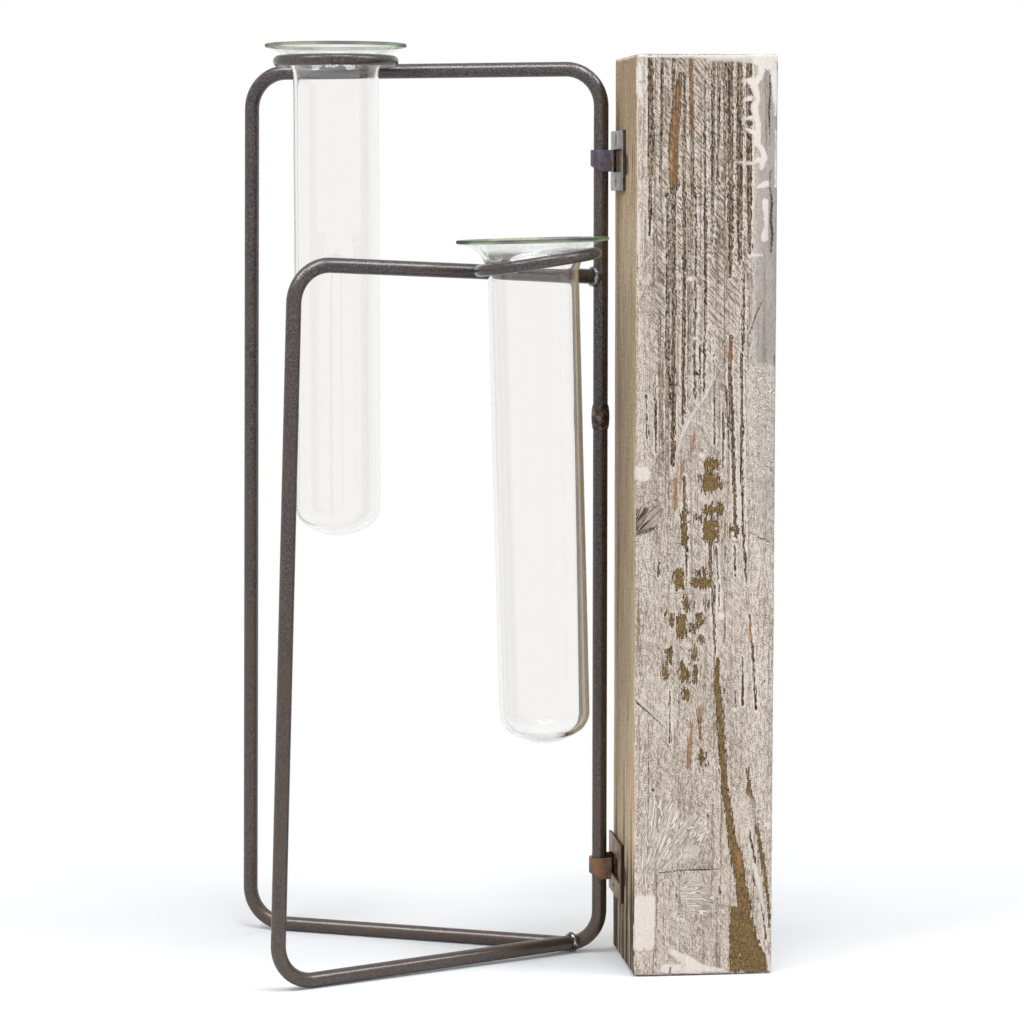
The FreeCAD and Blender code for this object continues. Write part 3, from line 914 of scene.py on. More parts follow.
def front_marks() -> dict[Layer, list[Mark]]:
    """Give the marks of the post's front face.

    Returns:
        The marks of each layer.
    """
    return {
        Layer.BARE: strokes((4.8, 304, 5, 276, 4.9, 262, 4.7, 246, (2, 2, 1.2, 0.7)),
            (8.5, 304, 8.6, 286, 8, 262, (0.9, 1, 0.4)), (12.1, 304, 12.5, 286, 1.3),
            (14.4, 298, 13.2, 285, 12.2, 275, 12.6, 262, (1.6, 3.4, 3.6, 3.4)),
            (10.4, 261, 10.6, 227, 10.3, 199, (0.8, 0.8, 0.6)),
            (12.7, 261, 12.9, 227, 12.7, 200, 12.6, 171, (1.1, 1.2, 1.6, 1.3)),
            (15.9, 299, 16.1, 227, 15.9, 205, 16.1, 184, (0.9, 0.9, 1.3, 0.8)),
            (18, 303, 18.6, 277, 18.9, 259, 1.3),
            (19.9, 260, 20.1, 227, 19.7, 210, 19.9, 192, (0.7, 0.7, 0.9, 0.7)),
            (22.7, 297, 23, 250, 23.3, 227, 22.9, 194, (0.7, 1.1, 0.9, 0.7)),
            (30.9, 302, 31.3, 255, 31.4, 233, (1.9, 1.9, 1.3)),
            (34.1, 302, 34.3, 255, 34.4, 237, (2.1, 2.1, 1.3)),
            (37.2, 302, 37.5, 260, 37.7, 240, (1.9, 1.7, 0.9)), (35.7, 234, 35.8, 209, 0.8),
            (25.2, 300, 25.4, 268, 25.2, 240, (0.9, 1.2, 0.4)), (27.6, 296, 27.2, 262, (0.5, 0.9)),
            (29.4, 302, 29.3, 270, (0.9, 0.5)), (31.5, 200, 32.6, 180, 33.8, 147, (1.6, 1.4, 1)),
            (30.4, 196, 31.2, 176, (0.7, 0.5)),
            (35.3, 207, 35.7, 169, 36.5, 145, 37.7, 131, (0.9, 1, 0.8, 0.7)), (3.9, 194, 4.1, 180, 0.6),
            (6.5, 200, 7.2, 175, 0.6), (9, 196, 9.2, 184, 0.4), (16.5, 167, 16.8, 144, 1.2),
            (38.5, 121, 39.4, 112, 40.1, 103, 41, 89, (0.9, 0.8, 0.7, 0.5)), (36.4, 107, 36.5, 91, (0.7, 1)),
            (26.8, 131, 27, 108, 0.6), (25.1, 144, 25.4, 131, 1), (12, 96, 12.3, 79, 0.6),
            (8, 140, 8.1, 134, 0.6), (24.9, 55, 25.2, 49, 0.6), (29, 30, 29.1, 27.4, 0.8),
            (27.2, 144, 28.6, 124, 0.5), (26, 212, 26.4, 178, (0.4, 0.7)), (31.7, 213, 31.4, 200, 1.1),
            (17.2, 160, 17.4, 134, (0.5, 0.7)), (25, 146, 26.2, 128, 27.1, 108, (1.1, 0.8, 0.6)),
            (11.1, 212, 11.2, 190, 0.6), (21.6, 210, 21.7, 196, 0.5), (29.3, 190, 29.6, 168, 0.5),
            (33.5, 144, 33.7, 134, 0.6), (38.9, 49, 40.3, 42, 41.6, 34, (0.9, 0.8, 0.5)),
            (43.2, 24, 44.9, 12, (0.4, 0.6))),
        Layer.FLAKE: patches((25.7, 171, 2.2, 2.4), (25.4, 165, 2.8, 3.4), (21.4, 167, 0.9, 1),
            (28.4, 164, 0.9, 0.9), (26.4, 156.2, 2.8, 1.6), (16.8, 150, 0.7, 5.6), (25.6, 149, 2.3, 4.2),
            (32.8, 149.4, 1.3, 1.1), (20.9, 153, 1, 1.5), (14.7, 133.4, 1.6, 3.2), (22, 132, 3.7, 1.8),
            (20.8, 134.6, 0.6, 1.4), (23.6, 135, 0.6, 1.6), (17.4, 124.7, 0.8, 2.2), (19.8, 124.8, 0.8, 1),
            (24.2, 125, 0.6, 1.2), (15.9, 117.6, 1.3, 3.8), (19.8, 116.6, 1.5, 2), (21.6, 119.8, 1.4, 2),
            (22.6, 113.2, 1.2, 1.3), (11.7, 107.8, 0.9, 2.3), (10.3, 102.4, 1, 1.9), (16.5, 102, 1.1, 3),
            (20.1, 108.2, 1.1, 2.2), (20.4, 101.3, 0.9, 3.1), (17.7, 94.7, 0.9, 1.7), (10.6, 122, 0.8, 1.3),
            (12.4, 120, 0.9, 1.9), (22.9, 73.2, 1.1, 2.6), (22.2, 83, 0.6, 3)),
        Layer.OLIVE: strokes(
            (28, 106.5, 27.8, 98.6, 29.2, 84.8, 30.6, 61.7, 31.3, 58.4, 33.1, 46, 35, 39.3, 36.2, 31.3, 37.4,
             22, (0.8, 2.1, 2.2, 2.1, 2.2, 2.8, 4.2, 3.6, 5)),
            (34.6, 21.6, 34.4, 2.6, (3.6, 4)), (37.2, 22, 38.8, 13, 40.6, 4, (3.6, 5.6, 9)),
            (42.8, 7, 44.2, 2.6, (2, 4.4)),
            (38.4, 69.6, 38.8, 61.7, 40.2, 58.4, 41.8, 49, 42.9, 42, 44.2, 34.6, 45.6, 25.4, 46.2, 16,
             (1, 1.5, 1.5, 1.5, 1.4, 1.6, 1.4, 0.9))),
        Layer.ORANGE: strokes((14, 294, 12.8, 280, 12.4, 264, (1.2, 2.6, 3)), (18, 303, 18.4, 280, 1.4),
            (21.7, 90.7, 21.9, 86, 22.5, 80, (1.5, 1.6, 0.8)),
            (19.6, 84.8, 18.8, 77.5, 18.1, 70.6, (0.9, 1.8, 1.7)), (31.6, 211, 31.5, 205.5, 1.7),
            (19.9, 183, 19, 175, 1.2), (15.7, 172, 15, 163, (1.4, 0.9)), (13.4, 166, 13.5, 157, 1.8),
            (38.7, 119, 39, 112, 0.9), (35.2, 41, 35.8, 36, 1.6), (28, 196, 27.4, 202, 1.4)),
        Layer.PAINT: strokes((0.6, 304, 22, 303.9, 46.5, 303.6, (0.9, 1.3, 3)),
            (24, 302.9, 38, 302.6, 43.5, 301.8, (0.6, 1.6, 4.6)),
            (41.8, 303, 40.8, 297, 38.6, 295.5, 40.3, 290, 39, 287.6, 40.4, 281, 39.8, 276,
             (3, 2, 3, 1.6, 2.6, 1.8, 2.6)),
            (34.8, 296, 37.6, 296.2, (0.7, 2)), (35.2, 289.6, 37.4, 290.6, (0.7, 1.9)),
            (34.9, 283.8, 38.6, 284.2, (0.7, 1.4)), (36, 280.6, 38.8, 279.6, (0.6, 2)),
            (33.8, 269.8, 38.7, 269.4, 40.6, 270.6, (0.7, 1.2, 2)),
            (41, 275, 42.4, 271.5, 41.4, 268, (1.6, 2.4, 1.8)), (39.4, 261.5, 43, 262.6, (0.9, 2.4)),
            (42.8, 257, 43.2, 250, 42.6, 245, (2, 1.4, 2.4)), (37.4, 239.2, 41.5, 239.6, (1, 1.5)),
            (44.8, 303, 46, 292, 46.2, 285, (2.4, 2.2, 1)), (46.3, 280, 46.4, 262, (0.8, 1.2)),
            (0.9, 301, 1.2, 297, (1.2, 1.8)), (0.8, 294.5, 1.6, 291, 1.5), (0.3, 287, 0.3, 262, 0.4),
            (0.6, 253, 0.9, 246, 0.5, 240, (0.8, 1.5, 0.5)), (3.2, 237.5, 5.6, 240.2, 0.6),
            (19, 212.4, 20.6, 212.3, 0.9), (21.9, 174.2, 23, 173.7, 1.2), (22.2, 128.6, 24.6, 128.8, 0.6),
            (20, 105.2, 22.4, 105.5, 0.4), (2.2, 25.8, 2.2, 10.8, 4), (5.6, 25.8, 5.4, 11, (4.2, 3.8)),
            (12.5, 8.6, 17.4, 5.6, 23.5, 2.4, 30.5, 1.4, (1.6, 3.6, 2.6, 1.2)), (11, 2.6, 22, 2, 3.4),
            (45.6, 6, 46.4, 2, (0.8, 2.2)), (40.6, 37, 42.4, 30, 44, 22, (1.6, 1, 0.6)),
            (28.2, 203.6, 23.4, 193.6, 18.6, 186.6, 15.4, 180, 13.6, 172, (0.3, 0.8, 1, 0.8, 0.3)),
            (16.9, 185.8, 21.3, 184.9, 26.6, 182.4, 0.4), (-0.2, 94.3, 4.8, 89.6, 9.9, 84.9, 0.35),
            (36.6, 212.2, 38.3, 216.2, 40, 221.6, 0.4))
            + patches((2.8, 168.1, 2.6, 2.5), (0.2, 168.4, 1, 2.2), (18, 231.9, 1.2, 0.8),
            (29, 120.7, 1.4, 1.2), (34, 89.5, 0.5, 0.8), (35.6, 146.8, 0.5, 0.7), (34, 127, 0.4, 0.5)),
        Layer.CUT: strokes(
            (44, 298, 44.3, 292.6, 43.8, 286.6, 44.2, 280, 44.2, 274.8, (0.2, 0.5, 0.5, 0.3, 0.1)),
            (44.6, 266.8, 44.2, 262.9, 45.1, 256.3, 44.7, 251, 45.2, 246.4, 44.9, 240.5,
             (0.3, 0.2, 0.7, 0.6, 0.8, 0.4)),
            (42.7, 225.3, 40.4, 221.3, 38.7, 216, 37.2, 212, (0.25, 0.45, 0.45, 0.2)),
            (-0.4, 93.7, 4.6, 89.1, 9.7, 84.4, (0.5, 0.4, 0.2)),
            (39.2, 148.1, 42.2, 146.2, 45.5, 145.1, (0.3, 0.5, 0.4)),
            (8.6, 35.1, 17.3, 35.6, 25.4, 35.8, 33.1, 36.2, (0.5, 0.55, 0.5, 0.3)),
            (12.7, 3, 12.3, 0.4, 0.5), (40.3, 33.5, 41, 30, 0.5), (34, 95.5, 34.1, 90, 0.4),
            (30.3, 96.5, 30.4, 94.5, 0.4), (43.9, 98.8, 42.8, 97.6, 0.5))
            + patches((6.5, 62.9, 0.45, 0.7), (46.7, 205, 0.4, 1.6), (46.7, 104.5, 0.4, 1.2)),
        Layer.SCRAPE: strokes(
            (29.8, 203, 24.8, 192.6, 20.2, 186, 17, 179.4, 15.6, 173.8, 14.4, 167.2,
             (1.2, 3, 3.4, 2.6, 1.6, 0.6))),
        Layer.WRINKLE: strokes((5, 37, 8.5, 47, 9.5, 54, (6, 13, 12)),
            (8.5, 38, 17.5, 46, 20, 50, (6, 13, 9)), (19, 30, 23, 25, 9)),
        Layer.CRACKLE: strokes((42.8, 200, 43, 170, 9), (38, 58, 45, 50, 5), (13, 22, 16, 14, 6)),
        Layer.KNOT: strokes((-1, 150, 3.4, 152.8, 7.4, 155.6, (6, 9, 4))),
    }


def left_marks(depth: float) -> dict[Layer, list[Mark]]:
    """Give the marks of the post's nearly bare left face.

    Args:
        depth: The face's width, whose far end meets the front.

    Returns:
        The marks of each layer.
    """
    foot = [(depth * share, 0, depth * share + 0.5, top * 0.6, depth * share, top, (4, 3, 0.6))
            for share, top in ((0.14, 62), (0.34, 36), (0.52, 70), (0.68, 44), (0.86, 56))]
    streaks = [(depth * share, low, depth * share + 0.8, low + run, 0.9) for share, low, run in (
        (0.2, 110, 40), (0.45, 170, 60), (0.7, 84, 22), (0.8, 226, 50), (0.3, 252, 34))]
    # The dark patches behind the two plates are painted shade, seen through the plates' windows.
    painted_shade_behind_plates = [(depth / 2, middle, 6.5, 3.4) for middle in (30, 269)]
    paint = strokes((depth - 0.6, 300, depth - 0.4, 292, 1.2), (depth - 0.3, 18, depth - 0.3, 9, 0.8),
                    (4, 304.2, 44, 304.2, 0.7))
    return {Layer.BARE: strokes(*foot, *streaks) + patches(*painted_shade_behind_plates),
            Layer.PAINT: paint + patches((depth - 0.8, 168.4, 1.6, 2.2))}


def drawn_marks(seed: int, width: float, height: float) -> dict[Layer, list[Mark]]:
    """Draw the marks of a face that is worn in the same way as the front.

    Args:
        seed: The seed of the draw.
        width: The face's width.
        height: The face's height.

    Returns:
        The marks of each layer.
    """
    draw = np.random.default_rng(seed)
    bare, flake, orange, paint, cut = [], [], [], [], []
    for _ in range(26):
        across, low, run = draw.uniform(2, width - 2), draw.uniform(0, height - 40), draw.uniform(24, 95)
        lean = draw.normal(0, 0.006) * run
        bare.append((across, low, across + lean * 0.6, low + run / 2, across + lean, low + run,
                     (0.5, draw.uniform(0.8, 2.1), 0.5)))
    for _ in range(22):
        across, up = draw.normal(width / 2, width / 7), draw.normal(height * 0.45, height / 7)
        flake.append((across, up, draw.uniform(0.6, 2), draw.uniform(1.2, 4)))
    for _ in range(4):
        across, low = draw.uniform(3, width - 3), draw.uniform(20, height - 40)
        orange.append((across, low, across + 0.4, low + draw.uniform(6, 18), 1.6))
    for _ in range(16):
        across = draw.choice((1.2, width - 1.2)) + draw.normal(0, 1.6)
        paint.append((across, draw.uniform(6, height - 4), draw.uniform(0.5, 1.8), draw.uniform(0.8, 5)))
    for _ in range(4):
        across, up = draw.uniform(4, width - 8), draw.uniform(20, height - 20)
        cut.append((across, up, across + draw.uniform(-5, 8), up + draw.uniform(-12, 12), 0.35))
    return {Layer.BARE: strokes(*bare), Layer.FLAKE: patches(*flake), Layer.ORANGE: strokes(*orange),
            Layer.PAINT: patches(*paint), Layer.CUT: strokes(*cut)}


@dataclass
class TimberPost:
    """The upright post: sawn timber with worn edges, brushed grain and a thick, broken whitewash.

    The parts of a noise are pairs of a share and of its cells in a millimetre. Each groove has its layer, the
    width over which its side slopes, and its share of the full depth. The coat's pull is how strongly the
    wash holds on the right face, on the front and back, and on the top.
    """

    pitches: tuple[float, float, float] = (0.4, 1.1, 0.8)
    coarse_steps: tuple[int, int, int] = (3, 1, 2)
    edge_lines: tuple[float, ...] = (0, 0.15, 0.35, 0.6, 0.9, 1.25, 1.7, 2.2)
    edge_wear: tuple[float, float] = (0.8, 1.9)
    wear_power: float = 1.6
    wear_parts: tuple = ((0.65, (0.05, 0.05, 0.06)), (0.35, (0.3, 0.3, 0.35)))
    fibre_parts: tuple = ((0.6, (1.9, 1.9, 0.035)), (0.4, (0.7, 0.7, 0.012)))
    hatch_cells: tuple[float, float, float] = (1.2, 1.2, 0.12)
    hatch_turn: tuple = ((0.74, 0, 0.67), (0, 1, 0), (-0.67, 0, 0.74))
    coat_pull: tuple[float, float, float] = (1.4, 1.2, 1.2)
    bare_facing: float = 0.75
    foot_coat: float = 0.2
    worn_shares: tuple[float, float] = (0.04, 0.84)
    worn_slopes: tuple[float, float] = (8.0, 14.0)
    worn_height: float = 170.0
    worn_rise: float = 70.0
    least_worn: float = 0.25
    cool_share: float = 0.8
    cool_slope: float = 12.0
    cool_height: float = 130.0
    cool_rise: float = 60.0
    cool_facing: float = 0.5
    grooves: tuple = ((Layer.BARE, 0.7, 1.0), (Layer.OLIVE, 1.2, 0.8), (Layer.FLAKE, 1.6, 0.8))
    scrape_share: float = 0.9
    scrape_slope: float = 1.6
    cut_slope: float = 0.5
    paint_slope: float = 0.6
    groove_depth: float = 0.25
    cut_depth: float = 0.5
    paint_build: float = 0.14
    fibre_depth: float = 0.1
    field_reach: float = 9.0
    facing: float = 0.7
    seed: int = 11
    low: Vector = field(default_factory=lambda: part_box("timber_post")[0] / MM)
    high: Vector = field(default_factory=lambda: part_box("timber_post")[1] / MM)

    def lines(self, axis: int) -> tuple[np.ndarray, list[int]]:
        """Give the grid lines of one axis, with closer ones beside both edges.

        Args:
            axis: The axis, from 0 to 2.

        Returns:
            The places of the lines, and the numbers of those that a coarse face keeps.
        """
        start, end = self.low[axis], self.high[axis]
        near = np.array(self.edge_lines)
        inset = near[-1] + self.pitches[axis]
        count = round((end - start - 2 * inset) / self.pitches[axis]) + 1
        between = np.linspace(start + inset, end - inset, count)
        places = np.concatenate([start + near, between, (end - near)[::-1]])
        kept = [*range(len(near)), *range(len(near), len(near) + count, self.coarse_steps[axis]),
                *range(len(near) + count, len(places))]
        return places, kept

    def grid(self) -> tuple[np.ndarray, list[tuple[int, ...]]]:
        """Make the box's surface as one closed grid, fine on the front and coarser elsewhere.

        Returns:
            Its points and its faces.
        """
        lines = [self.lines(axis) for axis in range(3)]
        found: dict[tuple[int, int, int], int] = {}
        points: list[tuple[float, ...]] = []
        faces = []

        def number(flat: int, far: int, i: int, j: int) -> int:
            """Give the number of a grid point, and make the point when it is new.

            Args:
                flat: The axis that the point's face is square to.
                far: 0 for the face at the axis's start, and 1 for the other.
                i: The point's line on the next axis.
                j: Its line on the axis after.

            Returns:
                The point's number.
            """
            key = [0, 0, 0]
            key[flat] = far * (len(lines[flat][0]) - 1)
            key[(flat + 1) % 3], key[(flat + 2) % 3] = i, j
            name = tuple(key)
            if name not in found:
                found[name] = len(points)
                points.append(tuple(float(lines[axis][0][name[axis]]) for axis in range(3)))
            return found[name]

        for flat, far in np.ndindex(3, 2):
            fine = flat == 1 and far == 0
            last_i, last_j = (len(lines[(flat + step) % 3][0]) - 1 for step in (1, 2))
            keep_i, keep_j = (list(range(last + 1)) if fine else lines[(flat + step) % 3][1]
                              for step, last in ((1, last_i), (2, last_j)))
            for i0, i1 in zip(keep_i, keep_i[1:]):
                for j0, j1 in zip(keep_j, keep_j[1:]):
                    step_low, step_high = (1 if j0 == 0 else i1 - i0), (1 if j1 == last_j else i1 - i0)
                    step_left, step_right = (1 if i0 == 0 else j1 - j0), (1 if i1 == last_i else j1 - j0)
                    ring = [(i, j0) for i in range(i0, i1, step_low)]
                    ring += [(i1, j) for j in range(j0, j1, step_right)]
                    ring += [(i, j1) for i in range(i1, i0, -step_high)]
                    ring += [(i0, j) for j in range(j1, j0, -step_left)]
                    numbers = [number(flat, far, i, j) for i, j in ring]
                    faces.append(tuple(numbers if far else numbers[::-1]))
        return np.array(points), faces

    def build(self, finish: bpy.types.Material) -> bpy.types.Object:
        """Build the post.

        Args:
            finish: The timber's material.

        Returns:
            The piece.
        """
        flat, faces = self.grid()
        noise = LatticeNoise(self.seed)
        low, high = np.array(self.low), np.array(self.high)
        least, most = self.edge_wear
        wear = least + (most - least) * noise.blend(flat, self.wear_parts) ** self.wear_power
        core = np.clip(flat, low + wear[:, None], high - wear[:, None])
        way = flat - core
        way /= np.maximum(np.linalg.norm(way, axis=1), TINY)[:, None]
        points = core + way * wear[:, None]

        width, depth, height = high - low
        across, up = flat[:, 0] - low[0], flat[:, 2] - low[2]
        fields = {layer: np.full(len(flat), self.field_reach) for layer in Layer}
        sides = (
            (-way[:, 1], across, front_marks()),
            (-way[:, 0], high[1] - flat[:, 1], left_marks(depth)),
            (way[:, 1], high[0] - flat[:, 0], drawn_marks(self.seed + 1, width, height)),
            (way[:, 0], flat[:, 1] - low[1], drawn_marks(self.seed + 2, depth, height)),
        )
        for toward, along, layers in sides:
            chosen = toward > self.facing
            for layer, marks in layers.items():
                for mark in marks:
                    away = mark.distance(along[chosen], up[chosen])
                    fields[layer][chosen] = np.minimum(fields[layer][chosen], away)

        # The left face keeps no wash, and the foot little. The front is worn in its middle, mostly high up,
        # and cool along its upper right.
        pull_x, pull_y, pull_z = self.coat_pull
        coat = way[:, 0] * pull_x + np.abs(way[:, 1]) * pull_y + np.maximum(way[:, 2], 0) * pull_z
        coat = np.where(way[:, 0] < -self.bare_facing, 0.0, 0.5 + 0.5 * np.clip(coat, -1, 1))
        coat = np.where(way[:, 2] < -self.facing, self.foot_coat, coat)
        share = across / width
        start, end = self.worn_shares
        from_left, from_right = self.worn_slopes
        worn = np.clip((share - start) * from_left, 0, 1) * np.clip((end - share) * from_right, 0, 1)
        high_up = np.clip((up - self.worn_height) / self.worn_rise, 0, 1)
        worn = worn * (self.least_worn + (1 - self.least_worn) * high_up)
        cool = np.clip((share - self.cool_share) * self.cool_slope, 0, 1)
        cool = cool * np.clip((up - self.cool_height) / self.cool_rise, 0, 1)
        cool = cool * (way[:, 1] < -self.cool_facing)

        def inside(layer: Layer, soft: float) -> np.ndarray:
            """Give how far each point is inside a layer's marks, from 0 to 1."""
            return np.clip(0.5 - fields[layer] / soft, 0, 1)

        fibre = noise.blend(flat, self.fibre_parts)
        hatch = noise.at(flat @ np.array(self.hatch_turn), self.hatch_cells)
        sunk = self.fibre_depth * fibre + self.fibre_depth * worn * hatch + self.paint_build
        grooves = [inside(layer, slope) * deep for layer, slope, deep in self.grooves]
        sunk += self.groove_depth * np.maximum.reduce(grooves)
        sunk += self.groove_depth * self.scrape_share * inside(Layer.SCRAPE, self.scrape_slope)
        sunk += self.cut_depth * inside(Layer.CUT, self.cut_slope)
        sunk -= self.paint_build * inside(Layer.PAINT, self.paint_slope)
        uncoated = 0.05 + 0.12 * fibre + 0.1 * inside(Layer.BARE, 0.8)
        sunk = np.where(coat < 0.1, uncoated, sunk)
        points = points - way * np.maximum(sunk, 0)[:, None]

        piece = mesh_piece("post_timber", points, faces)
        held = {layer.value: fields[layer] for layer in Layer} | {"coat": coat, "worn": worn, "cool": cool}
        for name, numbers in held.items():
            hold(piece, name, numbers)
        piece.data.materials.append(finish)
        return place(piece, Body.POST, "timber_post")


# The hinge plates


@dataclass
class HingePlate:
    """A sheet steel plate with a rolled knuckle, its cut edges broken, and its two countersunk screws."""

    label: str
    edge_break: float = 0.12
    edge_break_angle: float = 40.0
    edge_break_steps: int = 2
    flat_angle: float = 1.0
    rim_margin: float = 0.04
    rim_slant: float = 0.3
    sharp_angle: float = 35.0
    screw_sharp_angle: float = 30.0
    warm_fade: float = 1.6
    screw_head_diameter: float = 4.4
    screw_shank_diameter: float = 2.2
    screw_length: float = 14.0
    plate_thickness: float = 1.0
    slot_width: float = 0.6
    slot_depth: float = 0.4
    tip_share: float = 0.12
    overlap: float = 0.02
    seed: int = 5
    round_steps: int = 40

    def plate(self, finish: bpy.types.Material) -> bpy.types.Object:
        """Build the plate from a merged copy of its CAD node.

        Args:
            finish: The plate's material.

        Returns:
            The piece.
        """
        node = f"{self.label}_hinge_plate"
        source = cad_copy(node, finish, self.flat_angle)
        bevel = source.modifiers.new("edges", "BEVEL")
        bevel.width = self.edge_break * MM
        bevel.segments = self.edge_break_steps
        bevel.limit_method = "ANGLE"
        bevel.angle_limit = math.radians(self.edge_break_angle)
        piece = settled(source, f"{self.label}_plate")
        piece.data.shade_smooth()
        piece.data.set_sharp_from_angle(angle=math.radians(self.sharp_angle))
        low, high = (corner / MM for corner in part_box(node))
        reach = (high.x - low.x) / self.warm_fade
        edge = high.x - self.plate_thickness
        outwards = [(edge - point.co.x / MM) / reach for point in piece.data.vertices]
        hold(piece, "warmed", np.clip(outwards, 0, 1))
        # Faces on the plate's cut edges, which the finish paints near black as painted shadow.
        painted_shadow_rim_faces = []
        for face in piece.data.polygons:
            near, far = face.center / MM - low, high - face.center / MM
            outer = min(near.y, far.y, near.z, far.z) < self.rim_margin
            painted_shadow_rim_faces.append(float(outer and abs(face.normal.x) < self.rim_slant))
        hold(piece, "rim", painted_shadow_rim_faces, "FACE")
        return place(piece, Body.POST, node)

    def screw_tree(self) -> Shaping:
        """Make the tree that sets a slotted countersunk screw at each point.

        Returns:
            The tree.
        """
        sizes = ("Head Diameter", "Shank Diameter", "Head Depth", "Shank Length", "Slot Width", "Slot Depth")
        tree = Shaping("plate_screws", sizes, ("Seed",))
        head_width, shank_width, head_depth, shank_length, slot_width, slot_depth = (
            Value(tree, tree.given[key]) for key in sizes)
        cones = ((head_width / 2, shank_width / 2, head_depth),
                 (shank_width / 2, shank_width * self.tip_share, shank_length))
        head, shank = (tree.add("GeometryNodeMeshCone", sockets={
            "Vertices": self.round_steps, "Radius Bottom": bottom, "Radius Top": top, "Depth": depth})
            for bottom, top, depth in cones)
        lift = tree.add("ShaderNodeCombineXYZ", sockets={2: head_depth - self.overlap * MM})
        lifted = tree.add("GeometryNodeTransform", sockets={"Geometry": shank, "Translation": lift})
        whole = tree.add("GeometryNodeMeshBoolean", {"operation": "UNION", "solver": "EXACT"})
        for part in (head, lifted):
            tree.tree.links.new(part.outputs[0], whole.inputs["Mesh 2"])
        size = tree.add("ShaderNodeCombineXYZ", sockets={0: head_width * 2, 1: slot_width, 2: slot_depth * 2})
        slot = tree.add("GeometryNodeMeshCube", sockets={"Size": size})
        cut = tree.add("GeometryNodeMeshBoolean", {"operation": "DIFFERENCE", "solver": "EXACT"}, {
            "Mesh 1": whole, "Mesh 2": slot})
        angle = tree.add("FunctionNodeRandomValue", {"data_type": "FLOAT"}, {
            2: 0.0, 3: math.pi, "Seed": tree.given["Seed"]})
        spin = tree.add("ShaderNodeCombineXYZ", sockets={2: angle.outputs[1]})
        turned = tree.add("FunctionNodeRotateEuler", {"rotation_type": "EULER", "space": "LOCAL"}, {
            "Rotation": (0, math.pi / 2, 0), "Rotate By": spin})
        tree.end(tree.add("GeometryNodeInstanceOnPoints", sockets={
            "Points": tree.given["Geometry"], "Instance": cut, "Rotation": turned}))
        return tree

    def screws(self, finish: bpy.types.Material) -> bpy.types.Object:
        """Set the plate's two screws.

        Args:
            finish: The screws' material.

        Returns:
            The piece.
        """
        node = f"{self.label}_plate_screws"
        low, high = (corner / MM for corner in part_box(node))
        inset = self.screw_head_diameter / 2
        spots = [(low.x, (low.y + high.y) / 2, height) for height in (low.z + inset, high.z - inset)]
        points = mesh_piece("screw_points", spots, [])
        piece = self.screw_tree().run(
            points, f"{self.label}_screws", Head_Diameter=self.screw_head_diameter * MM,
            Shank_Diameter=self.screw_shank_diameter * MM, Head_Depth=self.plate_thickness * MM,
            Shank_Length=(self.screw_length - self.plate_thickness) * MM, Slot_Width=self.slot_width * MM,
            Slot_Depth=self.slot_depth * MM, Seed=self.seed, Finish=finish)
        piece.data.set_sharp_from_angle(angle=math.radians(self.screw_sharp_angle))
        return place(piece, Body.POST, node)


# The rod frame


def leftward(angle: float) -> Vector:
    """Give the level direction that runs left, turned to the back by an angle."""
    turn = math.radians(angle)
    return Vector((-math.cos(turn), math.sin(turn), 0))


